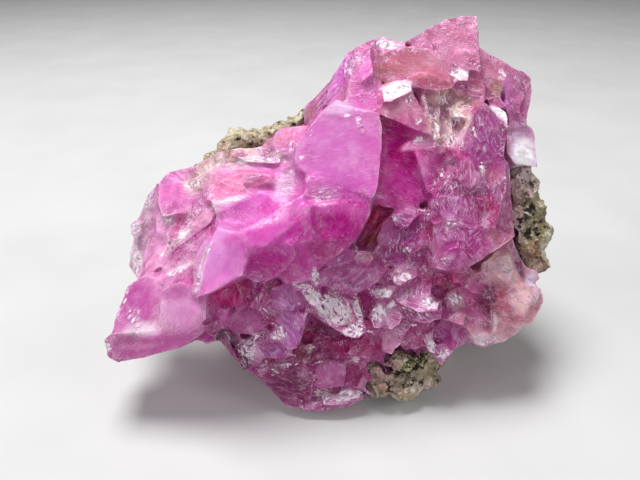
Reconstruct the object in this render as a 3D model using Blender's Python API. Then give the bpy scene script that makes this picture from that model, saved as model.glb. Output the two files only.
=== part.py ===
"""A hand specimen of cobaltoan calcite: pink crystals, grown together, on a lump of grey-tan host rock.

The crystals are laid out as they are seen from the display side. A crystal's outline is measured on
the display plane, through which the eye looks at the stone: u to the right, v up the plane, both in
millimetres. Its depth w is how far it stands out of that plane towards the eye. The plane leans back.
In the finished frame +X is to the right, +Y away from the eye and +Z up, with the origin under the
middle of the stone, on the surface that it rests on.
"""

import math
import random

import bmesh
import bpy
from mathutils import Euler, Vector

MM = 0.001

# The display plane, in millimetres and degrees.
EYE_DISTANCE = 50.0
PLANE_LEAN = math.radians(29.4)
PLANE_HEIGHT = 14.45
MIDDLE_X = 1.794
MIDDLE_Y = 5.554

# The gap between the calcite and the rock, in millimetres.
CONTACT_GAP = 0.38

# How far a crystal reaches over its neighbours at its front, how much it widens to its root, both in
# millimetres all round, and how far its root is drawn in to the middle of the stone.
FRONT_GROWTH = 0.14
ROOT_FLARE = 0.9
ROOT_DRAW = 0.97

# The wing, the thin shelf of clear calcite that reaches out at the lower left.
# Each crystal: name, outline, depth at the middle, lean (depth gained per mm across, and per mm up)
# and thickness.
WING = [
    ("wing_crest", [(-18.3, -8.2), (-17.9, -7.0), (-16.8, -4.1), (-15.3, -3.1), (-14.2, -3.2),
                    (-13.9, -3.7), (-14.2, -6.9), (-14.0, -8.4)], 1.8, (0.22, -0.3), 5),
    ("wing_lens", [(-13.9, -4.2), (-12.2, -3.6), (-11.1, -4.0), (-9.9, -5.0), (-9.9, -6.9), (-11.6, -8.1),
                   (-12.6, -8.3), (-13.4, -8.0), (-14.1, -7.0)], 3.1, (0.05, -0.1), 6),
    ("wing_front", [(-18.9, -8.7), (-18.2, -8.1), (-14.0, -8.3), (-11.6, -8.1), (-9.8, -7.4), (-10.6, -8.6),
                    (-12.6, -9.6), (-15.0, -10.1), (-17.4, -10.8), (-18.4, -10.2)], 2.4, (0.08, 0.35), 5),
    ("wing_heel", [(-10.6, -8.5), (-9.9, -7.5), (-8.8, -7.6), (-9.0, -8.8), (-9.9, -9.1)],
     1.0, (0.0, 0.2), 5),
]

# The terrace, stepped ledges that climb from the wing to the rock at the upper left.
TERRACE = [
    ("rim_pale", [(-14.2, 4.9), (-15.0, 4.1), (-15.8, 2.2), (-16.3, 0.0), (-16.7, -2.2), (-15.9, -3.3),
                  (-14.9, -2.0), (-14.4, 0.5), (-14.0, 3.0)], -2.0, (0.45, 0.0), 4),
    ("rim_bead", [(-16.0, 1.8), (-16.5, 1.3), (-16.5, 0.6), (-16.0, 0.1), (-15.6, 0.5), (-15.5, 1.4)],
     -1.8, (0.1, 0.0), 3),
    ("rim_cap", [(-14.0, 5.0), (-13.1, 6.0), (-11.8, 4.7), (-11.0, 4.2), (-11.4, 2.4), (-12.4, 2.3),
                 (-13.9, 2.0), (-14.2, 3.3)], 0.0, (0.15, -0.35), 5),
    ("rim_wedge", [(-13.1, 6.0), (-11.7, 6.0), (-10.7, 6.6), (-11.4, 5.4), (-12.3, 5.1)],
     -1.3, (0.1, -0.3), 4),
    ("ledge_west", [(-14.4, 2.2), (-12.7, 2.1), (-12.6, 1.0), (-13.4, 0.5), (-14.3, 0.6)],
     -0.3, (0.2, -0.25), 5),
    ("ledge_low", [(-14.9, 0.8), (-13.5, 0.4), (-13.3, -0.3), (-15.0, -2.2), (-15.5, -1.8)],
     -0.6, (0.4, 0.0), 5),
    ("ledge_mid", [(-11.2, 2.7), (-9.4, 2.9), (-9.2, 2.3), (-9.6, 1.4), (-11.5, 0.3), (-12.9, -1.2),
                   (-13.2, -0.8), (-12.4, 0.9)], 0.8, (0.3, -0.22), 5),
    ("ledge_step", [(-14.6, -1.2), (-13.5, -0.3), (-12.9, -0.9), (-13.4, -2.0), (-15.2, -3.1),
                    (-15.3, -2.2)], 0.0, (0.3, -0.25), 5),
    ("ledge_east", [(-13.7, -2.2), (-11.5, -1.3), (-10.5, 0.1), (-9.6, 1.2), (-9.5, -0.4), (-10.3, -2.0),
                    (-12.3, -2.6), (-13.5, -3.4)], 1.4, (0.35, -0.05), 5),
    ("ledge_base", [(-13.6, -2.9), (-12.2, -2.3), (-10.8, -1.9), (-10.8, -4.2), (-12.2, -4.2),
                    (-13.8, -3.7)], 1.9, (0.25, -0.2), 5),
    ("ledge_riser", [(-11.1, -1.9), (-10.2, 0.0), (-9.8, -0.3), (-10.1, -2.0), (-10.6, -5.1),
                     (-11.1, -4.6)], 3.4, (0.75, -0.05), 5),
    ("cream_bank", [(-11.8, 5.0), (-10.6, 6.6), (-8.8, 7.7), (-7.8, 8.0), (-8.5, 6.3), (-9.7, 3.8),
                    (-10.9, 3.2), (-11.2, 4.2)], -0.2, (0.2, -0.3), 5),
    ("rose_shelf", [(-8.8, 6.2), (-7.9, 8.0), (-5.0, 8.1), (-2.4, 7.4), (-2.4, 6.3), (-3.7, 5.8),
                    (-6.8, 6.1)], 0.1, (0.14, -0.4), 5),
    ("rose_bank", [(-9.0, 6.2), (-6.5, 6.4), (-3.7, 5.9), (-3.6, 4.8), (-4.6, 4.0), (-6.4, 4.0),
                   (-8.4, 3.7), (-9.9, 3.4), (-9.8, 4.8)], 1.2, (0.14, -0.3), 5),
    ("knob", [(-4.3, 8.3), (-3.9, 9.4), (-3.2, 9.8), (-1.1, 10.0), (-1.0, 9.2), (-2.0, 8.8), (-2.9, 7.4),
              (-3.9, 7.6)], 0.4, (0.2, -0.45), 5),
    ("knob_side", [(-2.9, 8.4), (-1.1, 9.6), (-1.8, 8.2), (-2.2, 7.0), (-2.9, 7.2)],
     1.0, (0.55, -0.25), 5),
    ("saddle", [(-3.7, 6.1), (-2.4, 6.8), (-1.2, 5.6), (-1.3, 4.3), (-2.1, 3.8), (-3.6, 3.4),
                (-3.9, 4.6)], 2.1, (0.3, -0.3), 5),
    ("basin_sill", [(-9.5, 3.5), (-6.6, 4.3), (-6.3, 3.5), (-8.3, 3.0), (-9.0, 2.2)],
     2.0, (0.2, -0.35), 5),
    ("basin", [(-9.0, 1.9), (-8.3, 3.0), (-6.4, 4.3), (-3.9, 4.1), (-3.6, 2.4), (-4.8, 1.9),
               (-6.5, 0.8), (-7.8, 0.6), (-9.1, 1.1)], 2.3, (0.2, -0.28), 5),
    ("lip_south", [(-6.9, 0.7), (-6.2, 1.5), (-3.9, 2.3), (-3.4, 1.7), (-4.4, 1.1), (-5.6, 0.8)],
     3.3, (0.15, -0.2), 5),
    ("lip_east", [(-4.0, 2.2), (-3.8, 3.5), (-2.3, 3.6), (-2.8, 2.3), (-3.6, 1.6)],
     3.1, (0.2, -0.25), 5),
    ("shelf_cap", [(-7.6, 7.4), (-5.2, 7.6), (-3.4, 7.2), (-3.6, 6.6), (-6.4, 6.7)],
     0.75, (0.1, -0.55), 4),
    ("bank_block", [(-6.6, 6.0), (-4.4, 5.9), (-4.1, 4.9), (-5.6, 4.6), (-6.8, 4.9)],
     1.9, (0.2, -0.15), 4),
    ("cream_step", [(-10.9, 5.4), (-9.6, 6.2), (-9.0, 5.4), (-9.6, 4.4), (-10.6, 4.4)],
     0.5, (0.3, -0.2), 4),
]

# The ridge, the smooth pale crest that runs down from the centre to the wing, and its shaded underside.
RIDGE = [
    ("crest_low", [(-10.8, -5.0), (-10.2, -2.6), (-9.8, -0.5), (-9.1, 1.3), (-6.8, 0.7), (-6.1, -0.9),
                   (-6.1, -1.7), (-6.7, -3.1), (-7.5, -3.2), (-9.6, -4.7)], 4.6, (0.12, -0.14), 7),
    ("crest_high", [(-7.5, 0.7), (-5.6, 0.9), (-4.4, 1.1), (-2.9, 2.3), (-1.4, 4.2), (-1.4, 3.0),
                    (-2.6, 1.0), (-4.5, -0.6), (-6.1, -0.9)], 4.6, (0.06, -0.3), 7),
    ("mid_flank", [(-2.8, 1.1), (-1.4, 3.1), (-0.8, 3.1), (-0.6, 0.1), (-1.4, -0.3), (-2.4, -0.4),
                   (-3.8, -0.2)], 4.5, (-0.05, 0.12), 6),
    ("shade_west", [(-6.2, -1.0), (-4.5, -0.6), (-2.4, -0.3), (-2.0, -1.3), (-2.9, -2.6), (-4.2, -2.7),
                    (-4.7, -3.7), (-5.7, -3.6), (-6.8, -3.1)], 3.8, (0.12, 0.42), 6),
    ("shade_mid", [(-2.3, -0.3), (-1.2, -0.6), (-0.9, -1.9), (-0.2, -2.5), (-0.6, -3.5), (-2.9, -3.9),
                   (-4.1, -2.8), (-2.6, -2.4)], 3.1, (0.0, 0.5), 6),
    ("shade_east", [(-1.5, -0.3), (0.8, 0.3), (3.3, 0.2), (2.3, -0.8), (1.0, -1.7), (0.1, -2.4),
                    (-0.9, -1.9)], 3.6, (0.1, 0.55), 6),
    ("ridge_panel", [(-1.0, 3.1), (2.4, 3.3), (4.5, 3.1), (4.4, 2.3), (3.8, 1.2), (3.2, 0.0), (0.8, 0.1),
                     (-0.8, -0.2)], 4.4, (0.08, 0.08), 6),
]

# The centre, the largest clear face, with a sharp upright edge on its right.
CENTRE = [
    ("great_face", [(-2.4, 6.9), (-1.9, 8.6), (0.2, 11.4), (1.4, 12.4), (2.7, 11.5), (5.1, 11.1),
                    (5.35, 10.0), (5.3, 8.0), (5.1, 5.0), (4.6, 3.5), (2.2, 4.7), (-1.2, 5.8),
                    (-2.1, 6.1)], 3.6, (0.26, -0.16), 7),
    ("ribbed_face", [(-1.3, 5.5), (0.5, 5.6), (2.4, 4.8), (4.7, 3.9), (4.5, 2.9), (-1.2, 2.9)],
     4.0, (0.1, -0.12), 6),
]

# The crown, the blocks along the top.
CROWN = [
    ("crown_edge", [(-1.2, 10.2), (-1.3, 11.7), (0.2, 13.1), (1.2, 14.3), (1.1, 12.8), (0.2, 11.4),
                    (-0.8, 10.0)], -0.8, (0.5, -0.2), 5),
    ("crown_west", [(0.2, 11.7), (1.1, 14.2), (2.3, 16.4), (3.1, 16.7), (3.0, 14.2), (2.6, 12.4)],
     0.2, (0.45, -0.15), 5),
    ("crown_rise", [(2.9, 16.7), (3.7, 16.8), (4.4, 17.5), (4.9, 17.6), (5.1, 13.5), (5.5, 12.0),
                    (5.1, 11.1), (2.7, 11.3), (2.2, 12.3)], 1.2, (0.05, -0.2), 5),
    ("crown_frost", [(4.6, 17.5), (5.5, 17.8), (7.3, 17.3), (7.2, 16.8), (5.2, 15.9), (4.8, 16.4)],
     0.1, (0.0, -0.35), 5),
    ("peach_block", [(5.0, 15.3), (5.2, 16.0), (7.2, 16.9), (9.3, 16.6), (10.5, 16.2), (11.3, 15.2),
                     (11.8, 13.6), (11.3, 13.1), (9.8, 13.0), (8.1, 13.6), (6.0, 13.6), (5.2, 14.0)],
     1.0, (0.05, -0.2), 6),
    ("peak", [(7.4, 17.3), (8.8, 18.2), (9.6, 18.6), (10.8, 19.2), (12.2, 19.5), (13.6, 19.5),
              (13.6, 17.3), (14.0, 16.8), (14.0, 14.6), (11.3, 15.3), (8.5, 16.8)], 0.3, (0.05, -0.26), 6),
    ("peak_flank", [(14.0, 16.8), (16.2, 15.5), (16.3, 14.2), (15.8, 12.6), (14.6, 12.2), (14.1, 13.2),
                    (13.9, 14.6)], -0.3, (-0.25, -0.2), 6),
    ("shoulder", [(16.1, 15.5), (17.7, 14.7), (18.4, 14.1), (18.5, 12.9), (18.0, 12.0), (18.0, 10.0),
                  (16.6, 9.6), (16.2, 12.0)], -1.2, (-0.4, -0.05), 6),
    ("bright_facet", [(5.4, 13.4), (7.0, 14.1), (8.0, 13.9), (8.0, 13.0), (6.2, 12.1), (5.5, 12.1)],
     1.8, (0.1, -0.75), 5),
    ("arrow_facet", [(5.1, 11.6), (7.3, 12.6), (8.2, 12.9), (9.5, 10.2), (9.9, 9.0), (8.6, 9.4),
                     (6.9, 10.5), (5.2, 10.9)], 2.1, (-0.14, -0.05), 6),
    ("fibrous_wedge", [(8.3, 12.8), (9.8, 13.1), (11.3, 13.1), (12.2, 11.6), (12.8, 10.0), (12.0, 8.0),
                       (10.2, 7.9), (9.7, 9.2)], 0.6, (-0.12, -0.1), 6),
    ("brown_block", [(11.1, 11.6), (12.3, 12.8), (13.2, 12.3), (14.5, 12.3), (13.4, 11.2), (12.9, 10.7),
                     (11.3, 10.7)], 1.0, (0.1, -0.35), 6),
    ("inset_block", [(11.4, 15.1), (12.6, 15.0), (13.0, 14.5), (12.8, 13.9), (11.7, 13.8)],
     1.2, (0.1, -0.4), 6),
    ("stepped_block", [(11.8, 14.0), (13.0, 14.6), (13.9, 14.6), (14.4, 13.3), (14.3, 12.2),
                       (12.3, 12.6), (11.4, 13.1)], 0.6, (0.0, -0.12), 6),
    ("spark_facet", [(14.7, 12.0), (15.4, 11.8), (16.2, 11.2), (16.4, 9.9), (15.8, 10.2), (14.7, 11.3)],
     1.1, (0.35, -0.5), 5),
    ("peach_low", [(7.6, 14.2), (9.6, 14.6), (11.2, 14.0), (11.4, 13.2), (9.8, 13.0), (8.2, 13.2)],
     1.4, (0.1, 0.2), 4),
    ("peak_low", [(11.2, 15.4), (12.0, 16.6), (13.8, 16.6), (14.0, 14.8), (12.4, 14.9)],
     0.95, (0.1, -0.05), 4),
    ("shoulder_step", [(16.3, 14.9), (17.4, 14.3), (17.8, 12.6), (17.4, 11.0), (16.7, 11.4)],
     -0.8, (-0.2, -0.1), 4),
    ("fibre_west", [(9.9, 12.7), (10.5, 12.6), (10.6, 9.0), (10.0, 8.6)], 1.0, (0.5, -0.1), 4),
    ("fibre_east", [(11.0, 10.4), (11.6, 10.5), (11.8, 8.3), (11.1, 8.1)], 0.95, (0.5, -0.1), 4),
    ("wedge_rim", [(8.6, 12.6), (9.2, 12.8), (10.0, 9.6), (9.7, 9.2)], 1.25, (0.5, 0.0), 4),
    ("rise_step", [(3.0, 15.8), (4.4, 16.6), (4.8, 14.6), (3.6, 13.8)], 1.6, (0.25, -0.3), 4),
]

# The cliff, the deep recess right of the centre and the broad block beyond it.
CLIFF = [
    ("recess", [(5.0, 10.7), (5.9, 10.8), (7.2, 10.4), (8.6, 9.6), (9.8, 7.0), (10.0, 4.2), (8.6, 3.1),
                (6.8, 2.7), (4.6, 3.1)], 0.9, (0.24, 0.02), 6),
    ("recess_east", [(8.3, 7.5), (9.8, 7.1), (11.1, 6.9), (11.6, 6.2), (11.0, 5.2), (9.9, 4.0),
                     (9.2, 4.4)], 1.6, (-0.25, 0.0), 6),
    ("recess_frost", [(7.0, 8.3), (8.6, 9.4), (9.9, 9.0), (10.2, 8.1), (8.5, 7.9), (7.0, 7.6)],
     1.7, (0.1, -0.35), 5),
    ("magenta_step", [(8.4, 8.1), (10.2, 8.2), (11.7, 8.1), (12.3, 7.3), (11.2, 6.6), (9.8, 6.9),
                      (8.3, 7.3)], 1.7, (0.0, 0.25), 5),
    ("cliff_top", [(12.0, 8.2), (13.2, 10.9), (14.0, 12.0), (14.6, 12.0), (14.8, 11.2), (16.1, 10.1),
                   (16.3, 8.8), (16.1, 6.9), (12.3, 6.7), (11.9, 7.3)], 1.9, (-0.12, -0.02), 6),
    ("cliff_face", [(9.9, 4.1), (11.2, 5.6), (12.3, 7.0), (16.3, 7.0), (16.3, 4.5), (15.2, 0.8),
                    (9.9, 1.3), (9.5, 1.8)], 2.2, (-0.06, -0.1), 7),
    ("cliff_brow", [(9.8, 1.5), (12.5, 1.3), (15.4, 1.0), (17.0, 0.3), (15.0, -1.2), (12.4, -2.9),
                    (9.9, -2.5), (9.7, -1.8), (10.0, -0.8)], 2.4, (-0.12, 0.1), 6),
    ("cliff_side", [(15.7, 6.9), (16.6, 6.8), (16.6, 4.0), (16.5, 1.8), (17.1, 0.4), (15.2, 0.9)],
     0.9, (-0.7, 0.0), 5),
    ("east_rim", [(16.2, 9.9), (18.4, 9.9), (18.8, 8.9), (18.9, 6.4), (17.1, 6.5), (16.3, 7.5)],
     -1.2, (-0.4, -0.05), 5),
    ("purple_block", [(4.9, 0.2), (5.4, 1.4), (6.4, 2.4), (8.4, 2.9), (9.6, 2.2), (9.9, 1.0), (9.2, -0.4),
                      (5.2, -0.5)], 1.2, (0.05, -0.15), 6),
    ("purple_low", [(4.6, -1.3), (5.0, -0.2), (9.2, -0.3), (9.9, -0.1), (9.9, -2.2), (8.6, -2.6),
                    (5.2, -2.1)], 1.0, (0.0, 0.1), 6),
    ("brown_tooth", [(4.0, -0.8), (4.3, 0.3), (5.0, 0.9), (5.2, -0.9)], 0.5, (0.3, 0.1), 5),
    ("crevice_floor", [(2.6, -0.6), (4.2, 2.6), (6.4, 3.3), (5.4, -1.0)], -2.2, (0.0, 0.0), 4),
    ("cliff_wedge", [(12.4, 7.2), (13.4, 6.9), (14.4, 5.0), (13.0, 4.2), (11.8, 5.4)],
     2.55, (0.12, -0.05), 4),
    ("cliff_low", [(10.2, 3.6), (12.6, 3.9), (13.2, 1.8), (10.6, 1.6)], 2.6, (-0.2, -0.1), 4),
    ("cliff_chip", [(13.8, 3.6), (15.2, 3.4), (15.0, 1.6), (14.0, 1.4)], 2.3, (-0.3, 0.1), 4),
    ("brow_step", [(10.0, -1.2), (12.0, -0.6), (13.0, -1.6), (12.2, -2.6), (10.2, -2.3)],
     2.6, (0.1, 0.2), 4),
    ("purple_chip", [(6.2, 2.1), (7.4, 2.5), (8.6, 2.2), (7.6, 1.2), (6.6, 1.2)],
     1.55, (0.1, -0.4), 4),
    ("purple_tip", [(7.0, -0.2), (8.2, 0.4), (9.0, -0.6), (8.0, -1.4)], 1.5, (-0.1, -0.2), 4),
]

# The apron, the tangle of small crystals below the ridge, down to the foot.
APRON = [
    ("pocket_west", [(-9.6, -4.9), (-9.0, -5.9), (-7.4, -5.8), (-7.3, -3.2), (-8.0, -3.4)],
     0.7, (0.3, -0.1), 6),
    ("pocket_east", [(-7.5, -3.1), (-6.0, -3.4), (-6.0, -4.8), (-6.4, -5.8), (-7.5, -5.8)],
     0.5, (-0.4, -0.1), 6),
    ("pocket_sill", [(-10.0, -7.5), (-9.3, -5.9), (-7.8, -6.0), (-8.4, -7.8)], 1.2, (0.0, -0.1), 6),
    ("lilac_lens", [(-8.4, -7.6), (-7.2, -5.9), (-5.6, -5.8), (-4.3, -7.1), (-5.2, -8.2),
                    (-6.0, -8.3), (-7.3, -8.1)], 1.1, (0.0, -0.3), 6),
    ("splinter_west", [(-6.5, -5.9), (-5.5, -4.2), (-4.9, -4.0), (-4.2, -5.2), (-5.4, -6.1)],
     0.9, (0.35, -0.2), 6),
    ("splinter_mid", [(-5.4, -5.9), (-4.3, -5.2), (-3.6, -6.5), (-4.2, -7.4), (-4.9, -7.0)],
     0.7, (-0.1, -0.35), 6),
    ("dark_nook", [(-4.9, -3.9), (-4.1, -2.8), (-3.2, -3.9), (-4.2, -4.6)], 0.2, (0.0, 0.0), 5),
    ("lilac_top", [(-4.2, -4.2), (-3.0, -3.8), (-2.1, -3.9), (-1.0, -5.5), (-1.0, -6.4), (-3.6, -6.4),
                   (-4.1, -5.4)], 1.0, (0.1, -0.1), 6),
    ("lilac_spur", [(-3.6, -6.4), (-1.5, -6.2), (-0.9, -6.9), (-1.7, -8.2), (-1.9, -9.4), (-2.9, -9.6),
                    (-3.6, -8.8), (-3.9, -7.4)], 1.4, (0.12, -0.1), 6),
    ("lilac_wedge", [(-5.1, -8.2), (-3.9, -7.3), (-3.4, -8.9), (-4.6, -9.0)], 0.9, (0.1, -0.45), 6),
    ("lilac_low", [(-5.1, -9.2), (-4.3, -8.6), (-3.1, -8.9), (-2.1, -10.1), (-3.5, -10.3),
                   (-4.9, -10.3)], 0.5, (0.0, -0.3), 6),
    ("west_step_1", [(-8.9, -7.7), (-8.4, -7.7), (-6.6, -11.3), (-7.2, -10.8)], -0.1, (0.9, 0.0), 4),
    ("west_step_2", [(-9.3, -8.1), (-8.6, -7.9), (-6.9, -11.0), (-7.7, -10.3)], -1.1, (0.9, 0.0), 4),
    ("frost_foot", [(-8.5, -7.8), (-7.1, -8.0), (-6.9, -8.7), (-7.4, -9.4)], 0.3, (0.3, -0.3), 6),
    ("frost_block", [(-7.4, -9.0), (-6.8, -8.6), (-5.0, -8.2), (-4.6, -8.9), (-5.1, -10.6),
                     (-6.5, -11.3)], 0.3, (0.2, -0.2), 6),
    ("low_dark", [(-6.5, -11.2), (-5.2, -10.2), (-2.0, -9.8), (-1.8, -11.0), (-3.9, -11.4),
                  (-5.3, -12.1)], -1.0, (0.1, 0.15), 6),
    ("russet_face", [(-5.3, -11.9), (-4.5, -11.3), (-2.0, -10.8), (-0.4, -10.7), (-0.9, -13.8),
                     (-1.8, -14.6), (-3.0, -14.4), (-3.8, -13.7)], -0.9, (0.15, 0.0), 6),
    ("rubble", [(-2.1, -9.4), (-0.3, -8.6), (0.2, -10.2), (-0.6, -10.9), (-2.1, -10.6)],
     -0.6, (0.0, -0.4), 5),
    ("pink_block", [(-0.6, -12.5), (-0.3, -11.0), (0.3, -10.4), (2.4, -10.5), (2.1, -12.8), (0.0, -13.0)],
     -0.2, (0.0, -0.1), 6),
    ("foot", [(-1.0, -12.4), (0.5, -12.8), (3.3, -12.9), (4.2, -13.8), (2.2, -14.6), (-0.2, -15.0),
              (-1.6, -14.8)], -1.0, (0.05, -0.5), 5),
    ("pit", [(-1.8, -8.6), (-0.6, -7.0), (0.1, -8.0), (-0.3, -8.7)], -2.0, (0.0, 0.0), 4),
    ("magenta_floor", [(0.0, -10.4), (-0.4, -7.5), (2.5, -8.0), (4.4, -7.8), (6.0, -7.8), (5.4, -9.9),
                       (4.3, -11.1), (2.4, -10.7)], -0.9, (0.05, -0.15), 5),
    ("frosted_plate", [(-2.2, -4.0), (0.3, -4.1), (3.2, -4.6), (3.8, -6.6), (4.1, -8.0), (3.3, -8.6),
                       (2.4, -8.5), (0.0, -7.0), (-0.9, -6.3), (-1.4, -5.3)], 1.4, (-0.08, -0.34), 6),
    ("grit_spur", [(-0.9, -3.9), (-0.4, -2.3), (0.2, -2.8), (0.2, -4.2)], 1.8, (0.2, -0.3), 5),
    ("oval_plate", [(0.1, -2.8), (0.8, -2.1), (2.2, -1.4), (4.6, -1.6), (5.9, -2.4), (5.2, -3.6),
                    (3.2, -4.7), (1.3, -4.6), (0.2, -3.9)], 1.9, (0.0, -0.14), 6),
    ("pebble", [(3.0, -1.5), (3.3, -0.9), (4.2, -0.9), (4.7, -1.7), (4.2, -2.2), (3.3, -2.1)],
     2.2, (0.0, -0.2), 5),
    ("grit_knot", [(6.0, -2.9), (7.2, -2.0), (8.4, -1.9), (8.6, -3.1), (7.0, -4.0), (6.3, -3.7)],
     1.2, (0.0, -0.25), 6),
    ("mauve_strip", [(8.2, -2.2), (9.8, -2.0), (9.9, -4.0), (9.0, -4.2)], 0.7, (-0.2, 0.0), 6),
    ("fan_upper", [(3.7, -4.4), (5.2, -3.4), (6.5, -3.6), (9.6, -3.4), (9.8, -4.7), (8.9, -5.1),
                   (6.4, -5.3), (4.6, -5.2)], 0.8, (0.0, -0.3), 6),
    ("fan_lower", [(6.5, -5.3), (8.2, -5.0), (9.9, -4.8), (10.7, -5.3), (10.5, -6.8), (9.3, -7.3),
                   (7.2, -6.8)], 0.9, (0.1, -0.3), 6),
    ("pale_lens", [(4.2, -6.6), (4.9, -5.4), (6.4, -5.2), (7.2, -6.2), (7.0, -7.2), (6.2, -7.8),
                   (4.7, -7.6)], 1.0, (0.0, -0.25), 6),
    ("gap_floor", [(2.9, -4.4), (5.4, -4.8), (5.4, -8.2), (3.8, -8.6)], 0.3, (0.0, 0.0), 5),
    ("peach_horn", [(5.4, -8.4), (6.0, -7.8), (7.4, -6.7), (7.8, -7.5), (7.2, -8.8), (6.3, -10.0),
                    (5.4, -9.7)], 0.6, (0.1, -0.2), 6),
    ("grit_face", [(7.0, -8.8), (7.8, -7.0), (10.0, -7.1), (9.9, -8.6), (8.6, -9.4), (7.4, -9.6)],
     -0.3, (0.0, -0.25), 6),
    ("white_blade", [(8.9, -8.6), (9.9, -7.7), (10.1, -9.9), (9.4, -9.8)], 0.1, (0.35, -0.2), 6),
    ("russet_toe", [(3.1, -12.8), (4.0, -11.0), (5.3, -9.8), (6.3, -10.2), (5.6, -12.0), (4.6, -13.5)],
     -0.6, (0.0, -0.12), 6),
    ("toe_gap", [(2.2, -10.6), (4.3, -10.9), (3.6, -13.2), (1.8, -13.1)], -0.9, (0.0, 0.0), 5),
    ("tooth_west", [(9.9, -8.6), (10.2, -7.3), (11.0, -7.1), (11.7, -8.4), (11.4, -10.1), (10.6, -10.9),
                    (9.8, -10.2)], -0.3, (0.1, -0.2), 6),
    ("tooth_east", [(11.7, -7.0), (12.9, -8.2), (12.9, -9.0), (11.6, -9.5), (11.4, -8.0)],
     -0.3, (-0.3, -0.1), 6),
    ("sill_east", [(10.5, -5.9), (12.6, -5.9), (12.7, -6.9), (11.8, -7.1), (10.4, -6.9)],
     0.2, (0.0, -0.3), 5),
    ("oval_grit", [(0.4, -2.6), (1.0, -1.9), (2.2, -1.0), (3.1, -0.7), (3.3, -1.6), (2.0, -2.1)],
     2.15, (0.1, -0.5), 4),
    ("frost_wedge", [(-5.0, -8.8), (-4.5, -7.9), (-3.6, -7.5), (-3.1, -8.0), (-3.0, -8.8)],
     1.35, (0.1, -0.3), 4),
    ("spur_shard", [(-2.5, -7.2), (-1.9, -6.3), (-1.1, -6.4), (-1.4, -7.5), (-1.9, -8.1)],
     1.85, (0.4, -0.1), 4),
    ("splinter_low", [(-5.2, -6.2), (-4.4, -5.6), (-3.7, -6.0), (-3.9, -7.0), (-4.6, -7.1)],
     1.15, (-0.3, -0.4), 4),
    ("splinter_rod", [(-5.6, -4.9), (-5.3, -4.3), (-5.0, -4.2), (-5.2, -5.2), (-5.7, -5.9), (-6.3, -5.9)],
     1.45, (0.6, -0.1), 4),
    ("plate_rib", [(1.6, -4.9), (2.9, -5.2), (3.7, -7.2), (3.0, -7.9), (2.0, -6.8)],
     1.75, (-0.3, -0.25), 4),
    ("plate_head", [(-1.9, -4.2), (0.0, -4.3), (0.6, -5.4), (-0.6, -5.9), (-1.3, -5.2)],
     1.85, (0.15, -0.4), 4),
    ("floor_west", [(0.1, -9.9), (0.3, -8.8), (1.9, -8.6), (2.2, -9.9)], -0.45, (0.2, -0.25), 4),
    ("floor_east", [(2.5, -9.9), (2.7, -8.8), (4.4, -8.5), (5.3, -9.3), (4.2, -10.3)],
     -0.5, (-0.15, -0.2), 4),
    ("grit_chip", [(-0.4, -8.4), (0.1, -8.0), (0.8, -8.4), (0.1, -8.8)], 0.2, (0.0, -0.2), 3),
    ("fan_mid", [(6.2, -5.0), (8.0, -4.9), (9.7, -5.7), (10.4, -6.2), (8.6, -6.3), (7.2, -5.7)],
     1.3, (0.0, -0.55), 4),
    ("fan_crest", [(9.0, -4.9), (10.5, -5.2), (10.2, -6.0), (9.2, -5.8)], 1.25, (0.2, -0.5), 4),
    ("fan_root", [(4.2, -4.3), (5.4, -3.9), (6.6, -4.2), (6.0, -5.1), (4.8, -5.0)],
     1.3, (0.2, -0.4), 4),
    ("tooth_frost", [(9.9, -9.2), (10.9, -9.0), (11.6, -9.7), (11.0, -10.5), (10.2, -10.9)],
     0.15, (0.1, 0.35), 4),
    ("sill_chip", [(10.9, -7.0), (11.9, -6.2), (12.8, -6.4), (12.5, -7.5), (11.8, -7.2)],
     0.75, (0.1, -0.2), 4),
    ("russet_rib", [(-1.0, -11.2), (-0.4, -12.6), (-1.0, -14.2), (-1.6, -13.0)], -0.7, (0.7, 0.0), 4),
    ("foot_step", [(0.4, -13.2), (3.4, -13.2), (3.9, -13.9), (2.0, -14.3), (0.2, -14.4)],
     -0.6, (0.0, -0.7), 4),
    ("block_step", [(-6.9, -10.2), (-6.2, -9.8), (-5.3, -10.2), (-5.6, -10.9), (-6.4, -11.2)],
     0.5, (0.1, -0.4), 4),
]

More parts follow.
